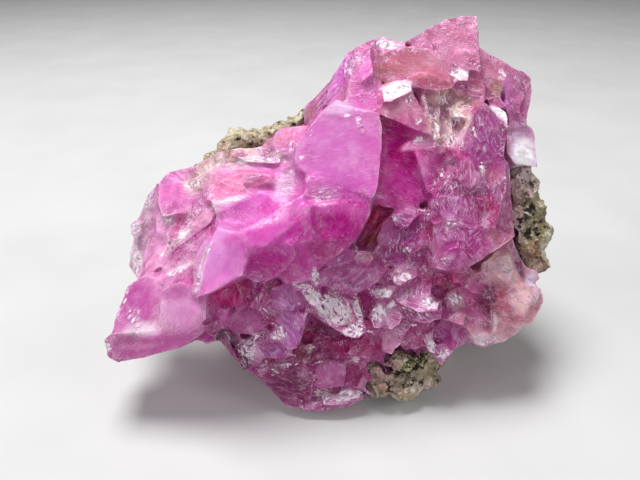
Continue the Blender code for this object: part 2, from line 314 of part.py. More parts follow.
# The lobes, rounded peach-coloured crystals at the lower right.
LOBES = [
    ("lobe_floor", [(9.6, -2.2), (12.8, -2.4), (13.2, -4.4), (12.8, -7.2), (10.6, -7.4), (9.8, -5.0)],
     -0.8, (0.0, -0.1), 5),
    ("lobe_grit", [(10.9, -4.8), (11.7, -4.1), (12.7, -4.5), (12.6, -6.0), (11.0, -6.0)],
     0.1, (0.0, -0.3), 5),
    ("lobe_pink", [(12.6, -4.0), (13.2, -3.0), (14.2, -2.6), (14.9, -3.4), (15.1, -4.3), (14.4, -4.8),
                   (13.2, -4.6)], 0.7, (-0.1, -0.25), 5),
    ("lobe_peach", [(14.0, -2.2), (15.6, -0.7), (16.8, 0.1), (17.2, -1.2), (17.8, -4.1), (15.3, -4.0),
                    (14.6, -3.2)], -0.2, (-0.2, -0.12), 5),
    ("lobe_heart", [(12.5, -4.9), (15.1, -4.3), (15.2, -7.0), (13.8, -7.2), (12.6, -6.7)],
     0.4, (0.1, -0.1), 5),
    ("lobe_east", [(15.0, -4.2), (17.6, -4.1), (18.6, -3.8), (19.4, -4.4), (19.4, -5.5), (18.4, -7.4),
                   (17.0, -7.6), (15.0, -6.9)], -0.2, (-0.3, -0.05), 5),
    ("lobe_lens", [(13.7, -7.3), (15.0, -6.8), (15.5, -7.6), (15.0, -8.6), (13.7, -8.3)],
     0.3, (0.0, 0.1), 5),
    ("lobe_hem", [(12.9, -7.8), (13.6, -7.6), (18.4, -7.2), (17.2, -8.2), (15.8, -9.0), (14.5, -9.5),
                  (13.3, -9.0)], -0.3, (-0.15, 0.35), 5),
    ("lobe_grey", [(16.8, 0.1), (17.4, -0.9), (18.3, -3.4), (17.7, -4.2), (17.0, -2.5)],
     -0.9, (-0.3, -0.1), 4),
    ("lobe_dome", [(15.6, -4.6), (17.4, -4.4), (18.5, -5.4), (17.8, -6.8), (15.9, -6.4)],
     0.35, (-0.1, -0.1), 4),
    ("lobe_rim", [(17.9, -3.9), (18.7, -3.9), (19.3, -4.6), (18.8, -5.6), (18.2, -5.0)],
     -0.1, (-0.5, 0.0), 4),
    ("lobe_fold", [(15.2, -1.6), (16.4, -0.9), (16.9, -2.2), (16.6, -3.6), (15.4, -2.9)],
     0.35, (0.1, -0.15), 4),
    ("lobe_pale", [(17.9, -2.2), (18.9, -2.8), (19.2, -3.4), (18.3, -4.0), (17.7, -3.8)],
     -1.1, (-0.3, 0.0), 4),
    ("hem_cup", [(13.2, -8.2), (14.6, -8.0), (14.9, -9.0), (14.3, -9.4), (13.6, -9.0)],
     0.1, (0.1, 0.3), 4),
]

# The floors of the clefts, small crystals that sit deep between the others.
CLEFTS = [
    ("cleft_bank", [(-11.2, 4.0), (-9.4, 4.2), (-9.0, 3.2), (-9.4, 2.5), (-10.9, 2.5), (-11.4, 3.1)],
     0.6, (0.25, -0.2), 4),
    ("cleft_ledge", [(-12.9, 2.5), (-11.4, 2.5), (-12.3, 0.8), (-13.4, -0.3), (-13.6, 0.5)],
     0.15, (0.2, -0.2), 4),
    ("cleft_trough", [(-9.4, 1.5), (-9.2, 0.6), (-10.6, 0.3), (-12.6, -1.8), (-13.7, -2.1), (-11.5, 0.2)],
     0.7, (0.25, -0.15), 4),
    ("cleft_nook", [(-6.1, -3.5), (-4.8, -3.3), (-4.7, -4.5), (-5.8, -4.7)], 1.0, (0.0, 0.0), 4),
    ("cleft_row", [(-2.6, -3.3), (-0.6, -3.2), (-0.3, -4.3), (-2.3, -4.5)], 1.6, (0.1, 0.1), 4),
    ("cleft_neck", [(0.0, -4.1), (1.8, -4.5), (1.6, -5.3), (0.3, -5.2)], 1.6, (0.1, -0.3), 4),
    ("cleft_lens", [(3.9, -7.0), (5.4, -7.4), (5.5, -8.2), (4.0, -8.2)], 0.6, (0.0, 0.0), 4),
    ("cleft_oval", [(5.1, -2.6), (6.3, -2.6), (6.3, -3.7), (5.2, -3.7)], 0.9, (0.0, 0.0), 4),
    ("cleft_wedge", [(-5.8, -8.0), (-4.6, -7.2), (-4.6, -8.9), (-5.8, -9.0)], 0.8, (0.0, 0.0), 4),
    ("cleft_floor", [(1.4, -10.2), (1.6, -8.6), (3.2, -8.5), (3.4, -10.2)], -0.7, (0.0, -0.2), 4),
    ("cleft_fan", [(7.2, -6.6), (8.8, -6.9), (8.6, -7.6), (7.4, -7.6)], 0.3, (0.0, 0.0), 4),
    ("cleft_grit", [(7.2, -9.0), (9.2, -9.2), (9.0, -10.3), (7.4, -10.3)], -0.8, (0.0, -0.2), 4),
    ("cleft_strip", [(9.7, -2.4), (10.9, -2.5), (10.8, -4.0), (9.8, -4.0)], 0.1, (0.0, 0.0), 4),
    ("cleft_brow", [(11.4, -2.6), (13.2, -2.4), (13.4, -3.6), (11.6, -3.8)], 0.2, (0.0, 0.0), 4),
    ("cleft_sill", [(12.3, -6.7), (13.5, -6.7), (13.4, -7.8), (12.4, -7.6)], 0.1, (0.0, 0.0), 4),
    ("cleft_spark", [(14.6, 12.5), (15.6, 12.6), (16.3, 11.6), (15.4, 11.5)], -0.1, (0.0, 0.0), 4),
    ("cleft_knob", [(-5.2, 8.0), (-3.8, 8.0), (-3.8, 8.9), (-4.6, 8.8)], -0.9, (0.0, 0.0), 4),
]

CRYSTALS = WING + TERRACE + RIDGE + CENTRE + CROWN + CLIFF + APRON + LOBES + CLEFTS

# Calcite behind the crystals that are seen: hulls of points (u, v, w) that carry them.
CORES = [
    ("core_wing", [(-17.2, -8.4, 0.5), (-16.4, -9.6, 0.5), (-10.0, -8.2, 1.0), (-8.5, -2.0, 1.5),
                   (-9.5, 2.0, 0.0), (-15.3, -3.3, -0.8), (-15.2, 1.0, -3.2), (-13.8, 4.4, -3.4),
                   (-15.0, -7.0, -1.8), (-13.8, -1.5, -4.6), (-8.0, -6.8, -4.0), (-7.0, 5.8, -6.5),
                   (-6.0, -6.0, -6.0), (-4.0, 3.0, 1.0), (-7.0, 0.7, 2.6), (-11.0, -7.8, -2.6),
                   (-10.5, 4.2, -5.5)]),
    ("core_middle", [(-8.0, 6.6, -3.0), (-6.0, -7.0, -1.0), (-3.0, 8.0, -1.5), (-1.0, 9.2, -2.0),
                     (6.0, -4.0, -0.8), (10.0, 0.5, -1.0), (8.0, 8.0, -0.5), (-4.5, -8.5, -7.0),
                     (11.0, -5.0, -7.0), (3.0, 11.0, -3.0), (-6.5, 5.5, -7.0), (10.0, 9.0, -8.0),
                     (0.0, 9.0, -8.0), (0.0, -3.0, -1.0)]),
    ("core_crown", [(0.4, 11.4, -2.6), (1.8, 14.6, -3.0), (4.0, 16.1, -3.5), (9.0, 16.9, -3.5),
                    (12.8, 18.2, -3.6), (13.2, 16.6, -3.8), (17.0, 13.8, -4.4), (16.8, 10.0, -4.2),
                    (16.4, 3.0, -2.6), (16.6, 0.2, -1.8), (3.0, 4.0, -1.5), (9.0, 3.0, -1.5),
                    (3.0, 12.0, -6.5), (11.0, 15.8, -7.0), (14.6, 11.5, -7.5), (15.0, 3.0, -7.0)]),
    ("core_foot", [(-7.3, -9.2, -1.8), (-4.2, -12.7, -2.6), (-1.6, -14.5, -2.8), (2.4, -14.2, -2.8),
                   (5.0, -13.2, -2.9), (9.0, -9.5, -2.6), (11.6, -8.4, -2.4), (10.0, -5.0, -1.6),
                   (-5.0, -6.0, -1.5), (4.0, -6.0, -1.2), (-7.0, -8.6, -6.0), (-5.2, -10.4, -8.0),
                   (10.5, -8.0, -7.0), (0.0, -3.0, -8.0), (-2.0, -12.2, -7.0), (6.0, -11.6, -7.0),
                   (-9.0, -7.6, -2.2)]),
    ("core_lobes", [(12.0, -3.0, -1.2), (13.6, -8.2, -2.4), (15.0, -8.3, -3.0), (18.0, -5.0, -2.8),
                    (17.0, -7.0, -3.0), (17.4, -0.4, -2.4), (12.0, -7.0, -1.4), (12.0, -7.2, -6.5),
                    (15.6, -5.8, -6.5), (15.4, -1.6, -6.5), (15.0, -0.6, -1.8), (12.2, -5.8, 0.0)]),
]

# Broken calcite on the far side: blocks at (u, v, w), with their half-sizes along X, Y and Z.
CHIPS = [
    ((11.5, 15.6, -6.0), (3.2, 2.2, 2.6)),
    ((14.6, 12.4, -6.4), (2.6, 2.2, 3.0)),
    ((8.0, 14.6, -6.6), (3.0, 2.0, 2.4)),
    ((4.4, 13.8, -5.6), (2.4, 2.0, 2.6)),
    ((14.8, 8.2, -6.4), (2.4, 2.2, 3.2)),
    ((-12.2, 2.6, -4.6), (2.6, 1.8, 2.4)),
    ((-12.6, -2.4, -3.4), (3.0, 2.0, 2.6)),
    ((-13.2, -6.2, -2.0), (2.6, 1.6, 1.8)),
    ((14.6, -5.6, -5.4), (2.6, 2.2, 1.8)),
    ((-7.6, -7.4, -4.6), (1.8, 1.8, 2.0)),
]

# The host rock: blocks at (u, v, w), with their half-sizes along X, Y and Z.
LUMPS = [
    ((-10.3, 6.1, -3.4), (0.9, 1.2, 0.8)),
    ((-9.2, 7.1, -3.5), (1.1, 1.3, 0.9)),
    ((-8.0, 8.0, -3.5), (1.2, 1.4, 1.1)),
    ((-7.0, 8.8, -3.7), (1.4, 1.5, 1.2)),
    ((-5.7, 8.9, -3.7), (1.3, 1.5, 1.1)),
    ((-4.6, 9.1, -3.8), (1.2, 1.5, 1.0)),
    ((-3.5, 9.6, -3.9), (1.1, 1.5, 0.9)),
    ((-2.3, 10.2, -4.0), (1.1, 1.5, 0.8)),
    ((-1.4, 10.7, -4.2), (0.9, 1.4, 0.9)),
    ((17.5, 5.9, -3.4), (1.3, 1.6, 1.2)),
    ((17.9, 4.4, -3.5), (1.5, 1.7, 1.6)),
    ((18.3, 2.8, -3.7), (1.4, 1.7, 1.7)),
    ((17.4, 1.9, -2.9), (1.2, 1.4, 1.5)),
    ((18.7, 0.5, -3.8), (1.7, 1.9, 1.9)),
    ((18.5, -1.5, -3.7), (1.5, 1.8, 1.6)),
    ((17.8, -0.4, -2.8), (1.1, 1.3, 1.3)),
    ((5.2, -12.4, -1.9), (1.5, 1.5, 1.3)),
    ((7.2, -12.5, -2.5), (1.9, 1.9, 1.6)),
    ((8.8, -11.6, -3.1), (1.7, 1.9, 1.8)),
    ((7.0, -10.5, -1.5), (1.3, 1.3, 1.3)),
    ((9.0, -10.0, -2.3), (1.2, 1.5, 1.2)),
    ((4.6, -11.2, -1.7), (0.9, 1.0, 1.0)),
    ((-6.6, 3.6, -8.0), (4.2, 3.4, 4.4)),
    ((-6.2, -2.0, -8.4), (4.0, 3.6, 4.2)),
    ((-1.2, 6.0, -9.4), (4.4, 3.6, 4.6)),
    ((-1.0, 0.4, -11.0), (4.8, 4.2, 4.8)),
    ((-2.6, -5.6, -10.8), (4.6, 4.4, 4.2)),
    ((2.6, -9.4, -10.2), (5.0, 4.4, 4.0)),
    ((4.8, -3.4, -12.6), (5.0, 4.6, 4.6)),
    ((4.6, 3.4, -12.2), (4.8, 4.0, 4.8)),
    ((4.4, 9.0, -10.4), (4.4, 3.4, 4.2)),
    ((9.6, 6.8, -11.6), (4.6, 3.8, 4.8)),
    ((10.6, 0.8, -12.2), (4.6, 4.2, 4.6)),
    ((10.0, -5.6, -11.4), (4.8, 4.2, 4.4)),
    ((8.2, -9.4, -9.0), (3.6, 4.0, 3.4)),
    ((14.6, 3.8, -8.8), (3.6, 3.2, 4.2)),
    ((14.2, -2.6, -9.0), (3.6, 3.4, 3.8)),
    ((9.4, 11.6, -9.4), (3.6, 2.8, 3.4)),
    ((17.2, 1.2, -5.6), (2.4, 2.4, 3.2)),
    ((16.6, -2.2, -6.0), (2.4, 2.4, 2.4)),
    ((-6.0, 7.6, -5.8), (2.8, 2.4, 2.4)),
    ((17.1, 4.6, -3.1), (1.0, 1.2, 1.7)),
]
BLOCK_POINTS = 14
BLOCK_ROUGHNESS = 0.14
BLOCK_SQUARENESS = 0.62
ROCK_SEED = 7
CHIP_SEED = 3

# The share of the triangles kept when the slivers along the joins are taken out.
KEPT_SHARE = 0.77

BLOCK_ROOM = 60.0


def seen(u, v, w):
    """The place, in metres, that is seen at (u, v) on the display plane and stands w out of it."""
    shrink = 1 - w / EYE_DISTANCE
    return from_plane(u * shrink, v * shrink, w)


def from_plane(across, up, out):
    """The place, in metres, of lengths along the display plane and out of it."""
    y = up * math.sin(PLANE_LEAN) - out * math.cos(PLANE_LEAN)
    z = up * math.cos(PLANE_LEAN) + out * math.sin(PLANE_LEAN) + PLANE_HEIGHT
    return Vector((across - MIDDLE_X, y - MIDDLE_Y, z)) * MM


def hull_object(name, points, collection):
    """The convex hull of some points, as a helper object that Booleans read."""
    bm = bmesh.new()
    for point in points:
        bm.verts.new(point)
    made = bmesh.ops.convex_hull(bm, input=bm.verts)
    spare = {e for key in ("geom_interior", "geom_unused") for e in made[key]}
    bmesh.ops.delete(bm, geom=[e for e in spare if isinstance(e, bmesh.types.BMVert)], context="VERTS")
    bmesh.ops.recalc_face_normals(bm, faces=bm.faces)
    mesh = bpy.data.meshes.new(name)
    bm.to_mesh(mesh)
    bm.free()
    helper = bpy.data.objects.new(name, mesh)
    helper.hide_render = True
    helper.display_type = "WIRE"
    collection.objects.link(helper)
    return helper


def widened(outline, middle, growth):
    """An outline with each corner moved that far away from the middle."""
    made = []
    for u, v in outline:
        share = 1 + growth / math.hypot(u - middle[0], v - middle[1])
        made.append((middle[0] + (u - middle[0]) * share, middle[1] + (v - middle[1]) * share))
    return made


def crystal_points(outline, depth, lean, thick):
    """Corners of a crystal whose front is the flat face with that outline, and its root behind."""
    count = len(outline)
    middle_u = sum(u for u, v in outline) / count
    middle_v = sum(v for u, v in outline) / count
    root = widened(outline, (middle_u, middle_v), ROOT_FLARE)
    outline = widened(outline, (middle_u, middle_v), FRONT_GROWTH)
    shrink = 1 - depth / EYE_DISTANCE
    across, up = lean
    front = []
    for u, v in outline:
        level = depth - across * middle_u * shrink - up * middle_v * shrink + across * u + up * v
        w = level / (1 + (across * u + up * v) / EYE_DISTANCE)
        front.append((u, v, w))
    points = [seen(u, v, w) for u, v, w in front]
    for (u, v, w), (root_u, root_v) in zip(front, root):
        near = 1 - w / EYE_DISTANCE
        points.append(from_plane(root_u * near * ROOT_DRAW, root_v * near * ROOT_DRAW, w - thick))
    return points


def block_offsets(rng):
    """Corners of a rough, boxy block of size 1, turned at random: an even spread, pushed out square."""
    turn = Euler([rng.uniform(0, math.pi) for axis in "XYZ"]).to_matrix()
    offsets = []
    for i in range(BLOCK_POINTS):
        height = 1 - (2 * i + 1) / BLOCK_POINTS
        ring = math.sqrt(1 - height * height)
        angle = i * math.pi * (3 - math.sqrt(5))
        offset = Vector((ring * math.cos(angle), ring * math.sin(angle), height))
        offset /= max(abs(c) for c in offset) ** BLOCK_SQUARENESS
        offsets.append(turn @ offset * (1 + rng.uniform(-BLOCK_ROUGHNESS, BLOCK_ROUGHNESS)))
    return offsets


def block_points(place, half_sizes, offsets, grown=0.0):
    """Corners of a block of that size, grown by some millimetres all round."""
    centre = seen(*place)
    return [centre + Vector([o * (h + grown) * MM for o, h in zip(p, half_sizes)]) for p in offsets]


def floor_block(collection):
    """A block below the resting plane, which cuts the foot flat."""
    bpy.ops.mesh.primitive_cube_add(size=BLOCK_ROOM * MM, location=(0, 0, -BLOCK_ROOM * MM / 2))
    block = bpy.context.object
    block.name = "floor_block"
    block.hide_render = True
    block.display_type = "WIRE"
    for owner in list(block.users_collection):
        owner.objects.unlink(block)
    collection.objects.link(block)
    return block


def boolean(target, operation, collection):
    """A Boolean of the target with everything in a collection."""
    modifier = target.modifiers.new(operation.title(), "BOOLEAN")
    modifier.operation = operation
    modifier.operand_type = "COLLECTION"
    modifier.collection = collection
    modifier.solver = "EXACT"


def thin_out(target):
    """Take out the slivers that the Booleans leave along the joins."""
    modifier = target.modifiers.new("Slivers", "DECIMATE")
    modifier.decimate_type = "COLLAPSE"
    modifier.ratio = KEPT_SHARE


def material(name, color, roughness):
    made = bpy.data.materials.new(name)
    made.use_nodes = True
    shader = made.node_tree.nodes["Principled BSDF"]
    shader.inputs["Base Color"].default_value = (*color, 1)
    shader.inputs["Roughness"].default_value = roughness
    shader.inputs["Metallic"].default_value = 0.0
    return made


def new_collection(name):
    collection = bpy.data.collections.new(name)
    bpy.context.scene.collection.children.link(collection)
    return collection


def shown(helper, name, collection, finish):
    """A part that starts as a copy of one of the helpers."""
    part = bpy.data.objects.new(name, helper.data.copy())
    part.data.materials.append(finish)
    collection.objects.link(part)
    return part


def main():
    for old in list(bpy.data.objects):
        bpy.data.objects.remove(old)
    specimen = new_collection("cobaltoan_calcite_specimen")
    crystals = new_collection("crystals")
    lumps = new_collection("lumps")
    moulds = new_collection("rock_moulds")
    below = new_collection("below")

    floor_block(below)
    for name, points in CORES:
        core = hull_object(name, [seen(*p) for p in points], crystals)
    for name, outline, depth, lean, thick in CRYSTALS:
        hull_object(name, crystal_points(outline, depth, lean, thick), crystals)
    rng = random.Random(CHIP_SEED)
    for number, (place, half_sizes) in enumerate(CHIPS):
        hull_object(f"chip_{number}", block_points(place, half_sizes, block_offsets(rng)), crystals)
    rng = random.Random(ROCK_SEED)
    for number, (place, half_sizes) in enumerate(LUMPS):
        offsets = block_offsets(rng)
        lump = hull_object(f"lump_{number}", block_points(place, half_sizes, offsets), lumps)
        mould = block_points(place, half_sizes, offsets, CONTACT_GAP)
        hull_object(f"mould_{number}", mould, moulds)

    calcite = shown(core, "calcite", specimen, material("pink_calcite", (0.75, 0.2, 0.5), 0.25))
    boolean(calcite, "UNION", crystals)
    boolean(calcite, "DIFFERENCE", moulds)
    thin_out(calcite)
    boolean(calcite, "DIFFERENCE", below)
    rock = shown(lump, "host_rock", specimen, material("tan_rock", (0.3, 0.25, 0.18), 0.9))
    boolean(rock, "UNION", lumps)
    thin_out(rock)
    boolean(rock, "DIFFERENCE", below)


if __name__ == "__main__":
    main()
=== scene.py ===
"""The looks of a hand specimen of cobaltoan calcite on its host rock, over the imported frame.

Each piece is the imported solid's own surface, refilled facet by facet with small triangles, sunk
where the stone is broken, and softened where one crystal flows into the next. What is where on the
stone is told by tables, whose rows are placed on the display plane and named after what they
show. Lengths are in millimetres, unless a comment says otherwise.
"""

import math
import random
from types import SimpleNamespace

import bmesh
import bpy
import numpy as np
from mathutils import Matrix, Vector, geometry, kdtree, noise
from mathutils.bvhtree import BVHTree


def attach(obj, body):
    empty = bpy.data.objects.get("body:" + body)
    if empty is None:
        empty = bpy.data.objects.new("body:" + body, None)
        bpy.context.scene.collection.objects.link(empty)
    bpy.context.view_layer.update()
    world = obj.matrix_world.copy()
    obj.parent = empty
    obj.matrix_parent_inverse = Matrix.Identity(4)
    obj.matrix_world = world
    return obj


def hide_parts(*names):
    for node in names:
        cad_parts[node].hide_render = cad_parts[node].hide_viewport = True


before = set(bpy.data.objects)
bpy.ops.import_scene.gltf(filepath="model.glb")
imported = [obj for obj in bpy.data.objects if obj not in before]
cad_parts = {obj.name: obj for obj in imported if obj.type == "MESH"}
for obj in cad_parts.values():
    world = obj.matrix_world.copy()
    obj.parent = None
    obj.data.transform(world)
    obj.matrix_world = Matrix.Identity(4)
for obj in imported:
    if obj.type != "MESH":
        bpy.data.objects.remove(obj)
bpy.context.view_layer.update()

MM = 0.001

# The display plane, as the part is laid out: the eye looks square through it at the stone.
EYE_DISTANCE = 50.0
PLANE_LEAN = math.radians(29.4)
PLANE_MIDDLE = np.array((-1.794, -5.554, 14.45))
AXES = np.array([
    (1, 0, 0),
    (0, math.sin(PLANE_LEAN), math.cos(PLANE_LEAN)),
    (0, -math.cos(PLANE_LEAN), math.sin(PLANE_LEAN)),
])


def to_plane(points):
    """Row frame to lengths across, up and out of the display plane."""
    return (points - PLANE_MIDDLE) @ AXES.T


def from_plane(points):
    return np.asarray(points, dtype=float) @ AXES + PLANE_MIDDLE


EYE = from_plane((0, 0, EYE_DISTANCE))


# ---------------------------------------------------------------- fine meshes

# Grain of the display side and of the far side.
CALCITE_GRAIN = (0.2, 0.38)
ROCK_GRAIN = (0.24, 0.42)
# How far a facet may turn from the eye, as a cosine, before it takes the far side's grain.
SIDE_ON = -0.15
FACET_ANGLE = math.radians(2)
# How far a point strays from its even grid, and how near an edge it may come, in grains.
GRID_JITTER = 0.22
EDGE_ROOM = 0.45
MERGE = 0.001
# The least area of a triangle, as a share of its longest side squared.
SLIVER = 1e-4


class Skin(SimpleNamespace):
    """A fine mesh: points, triangles, the flat facet of each triangle, and which points are rims."""

    def normals(self):
        p, t = self.points, self.triangles
        cross = np.cross(p[t[:, 1]] - p[t[:, 0]], p[t[:, 2]] - p[t[:, 0]])
        total = np.zeros_like(p)
        for corner in range(3):
            np.add.at(total, t[:, corner], cross)
        return total / np.maximum(np.linalg.norm(total, axis=1, keepdims=True), 1e-12)


def facet_groups(bm):
    """Groups of neighbouring faces that lie in nearly one plane."""
    done = set()
    groups = []
    for start in sorted(bm.faces, key=lambda f: -f.calc_area()):
        if start in done:
            continue
        done.add(start)
        group = [start]
        stack = [start]
        while stack:
            for g in [g for e in stack.pop().edges for g in e.link_faces]:
                if g not in done and g.normal.angle(start.normal, math.pi) < FACET_ANGLE:
                    done.add(g)
                    group.append(g)
                    stack.append(g)
        groups.append(group)
    return groups


def inside_of(flat, points, triangles):
    """Which triangle each point is in, or -1, and its weights there."""
    found = np.full(len(points), -1)
    weights = np.zeros((len(points), 3))
    for number, corners in enumerate(triangles):
        a, b, c = (flat[i] for i in corners)
        area = (b[0] - a[0]) * (c[1] - a[1]) - (b[1] - a[1]) * (c[0] - a[0])
        if abs(area) < 1e-9:
            continue
        x = points - a
        s = (x[:, 0] * (c[1] - a[1]) - x[:, 1] * (c[0] - a[0])) / area
        t = ((b[0] - a[0]) * x[:, 1] - (b[1] - a[1]) * x[:, 0]) / area
        hit = (s >= -1e-6) & (t >= -1e-6) & (s + t <= 1 + 1e-6) & (found < 0)
        found[hit] = number
        weights[hit] = np.stack([1 - s - t, s, t], axis=1)[hit]
    return found, weights


def clear_of(points, lines, room):
    """Which points are at least that far from every line."""
    good = np.ones(len(points), dtype=bool)
    for a, b in lines:
        along = b - a
        t = np.clip(((points - a) @ along) / max(along @ along, 1e-12), 0, 1)
        gap = points - (a + t[:, None] * along)
        good &= (gap * gap).sum(axis=1) > room * room
    return good


def uneven_grid(low, high, gap, rng):
    """Points in staggered rows over a rectangle, each a little off its place."""
    row_gap = gap * math.sqrt(3) / 2
    return np.array([
        (low[0] + (c + 0.5 * (r % 2) + rng.uniform(-GRID_JITTER, GRID_JITTER)) * gap,
         low[1] + (r + rng.uniform(-GRID_JITTER, GRID_JITTER)) * row_gap)
        for r in range(int((high[1] - low[1]) / row_gap) + 1)
        for c in range(int((high[0] - low[0]) / gap) + 1)
    ])


def split_edges(bm, points, owner, gaps):
    """The edges between facets, as chains of points about a grain apart, which it adds."""
    chains = {}
    for e in bm.edges:
        sides = {owner[f] for f in e.link_faces}
        if len(sides) < 2 and len(e.link_faces) == 2:
            continue
        a, b = (v.index for v in e.verts)
        way = points[b] - points[a]
        count = max(1, round(np.linalg.norm(way) / min(gaps[side] for side in sides)))
        chains[e] = [a, *range(len(points), len(points) + count - 1), b]
        points += [points[a] + way * step / count for step in range(1, count)]
    return chains


def sound_triangles(flat, triangles, sources):
    """The triangles whose corners were all given, without slivers."""
    sound = np.array([t for t in triangles if len(t) == 3 and all(sources[i] for i in t)])
    if not len(sound):
        return sound
    corners = flat[sound]
    sides = corners[:, (1, 2, 2)] - corners[:, (0, 0, 1)]
    area = np.abs(sides[:, 0, 0] * sides[:, 1, 1] - sides[:, 0, 1] * sides[:, 1, 0])
    return sound[area > SLIVER * (sides * sides).sum(axis=2).max(axis=1)]


def skin_of(node, grain, rng):
    """A node's surface, filled facet by facet with even triangles, finer on the display side."""
    bm = bmesh.new()
    bm.from_mesh(node.data)
    bmesh.ops.remove_doubles(bm, verts=bm.verts, dist=MERGE * MM)
    bmesh.ops.dissolve_degenerate(bm, dist=MERGE * MM, edges=bm.edges)
    bmesh.ops.triangulate(bm, faces=bm.faces)
    bm.normal_update()
    bm.verts.ensure_lookup_table()
    points = [np.array(v.co) / MM for v in bm.verts]
    groups = facet_groups(bm)
    owner = {f: number for number, group in enumerate(groups) for f in group}
    normals = []
    gaps = []
    for group in groups:
        normal = sum((f.normal * f.calc_area() for f in group), Vector()).normalized()
        middle = sum((f.calc_center_median() for f in group), Vector()) / len(group)
        sight = (Vector(EYE) - middle / MM).normalized()
        normals.append(normal)
        gaps.append(grain[0] if normal.dot(sight) > SIDE_ON else grain[1])
    chain_of = split_edges(bm, points, owner, gaps)

    triangles = []
    facets = []
    middles = []
    for number, (group, normal, gap) in enumerate(zip(groups, normals, gaps)):
        side = normal.orthogonal().normalized()
        basis = np.array((side, normal.cross(side)))
        old = sorted({v.index for f in group for v in f.verts})
        middles.append(np.mean([points[i] for i in old], axis=0))
        old_flat = np.array([basis @ points[i] for i in old])
        old_triangles = [tuple(old.index(v.index) for v in f.verts) for f in group]

        # The facet's outline, then points over its inside.
        chains = sorted(chain_of[e] for e in {e for f in group for e in f.edges} if e in chain_of)
        ids = sorted({i for chain in chains for i in chain})
        flat = [basis @ points[i] for i in ids]
        slot = {i: k for k, i in enumerate(ids)}
        edges = [(slot[a], slot[b]) for chain in chains for a, b in zip(chain, chain[1:])]
        grid = uneven_grid(old_flat.min(axis=0), old_flat.max(axis=0), gap, rng)
        grid = grid[clear_of(grid, [(flat[a], flat[b]) for a, b in edges], gap * EDGE_ROOM)]
        for point, hit, weight in zip(grid, *inside_of(old_flat, grid, old_triangles)):
            if hit >= 0:
                ids.append(len(points))
                flat.append(point)
                points.append(sum(w * points[old[k]] for w, k in zip(weight, old_triangles[hit])))

        made = geometry.delaunay_2d_cdt([Vector(p) for p in flat], edges, [], 0, 1e-7, True)
        new_flat = np.array([p[:] for p in made[0]])
        sources = made[3]
        sound = sound_triangles(new_flat, made[2], sources)
        if not len(sound):
            continue
        found, weights = inside_of(old_flat, new_flat[sound].mean(axis=1), old_triangles)
        for t, hit in zip(sound, found):
            corners = tuple(ids[sources[i][0]] for i in t)
            if hit >= 0 and len(set(corners)) == 3:
                triangles.append(corners)
                facets.append(number)
    bm.free()
    rim = np.zeros(len(points), dtype=bool)
    rim[[i for chain in chain_of.values() for i in chain]] = True
    return Skin(points=np.array(points), triangles=np.array(triangles), facets=np.array(facets),
                rim=rim, facet_normals=np.array(normals), facet_middles=np.array(middles))


# ---------------------------------------------------------------- where things are on the stone

# A row of a table names an oval patch on the display plane and gives its middle (u, v), its
# half-width and half-height, its turn in degrees, and then the values that the table is about.
# A patch is whole near its middle, and gone at a little over its half-sizes.
PATCH_TOP = 1.9
PATCH_FALL = 1.5
# How far behind and before the stone's surface a patch reaches, on top of its longer half-size.
DEPTH_ROOM = 2.0
# How many rows at the start of a table are broad ones, which share the stone between them, and
# the least part of each.
BROAD_TINTS = 7
BROAD_BREAKS = 5
ROCK_BROAD_TINTS = 3
BROAD_FLOOR = 0.02


def table(text):
    """The rows of a table, one to a line: a name, then its numbers."""
    rows = (line.split() for line in text.strip().splitlines())
    return [(name, *map(float, numbers)) for name, *numbers in rows]
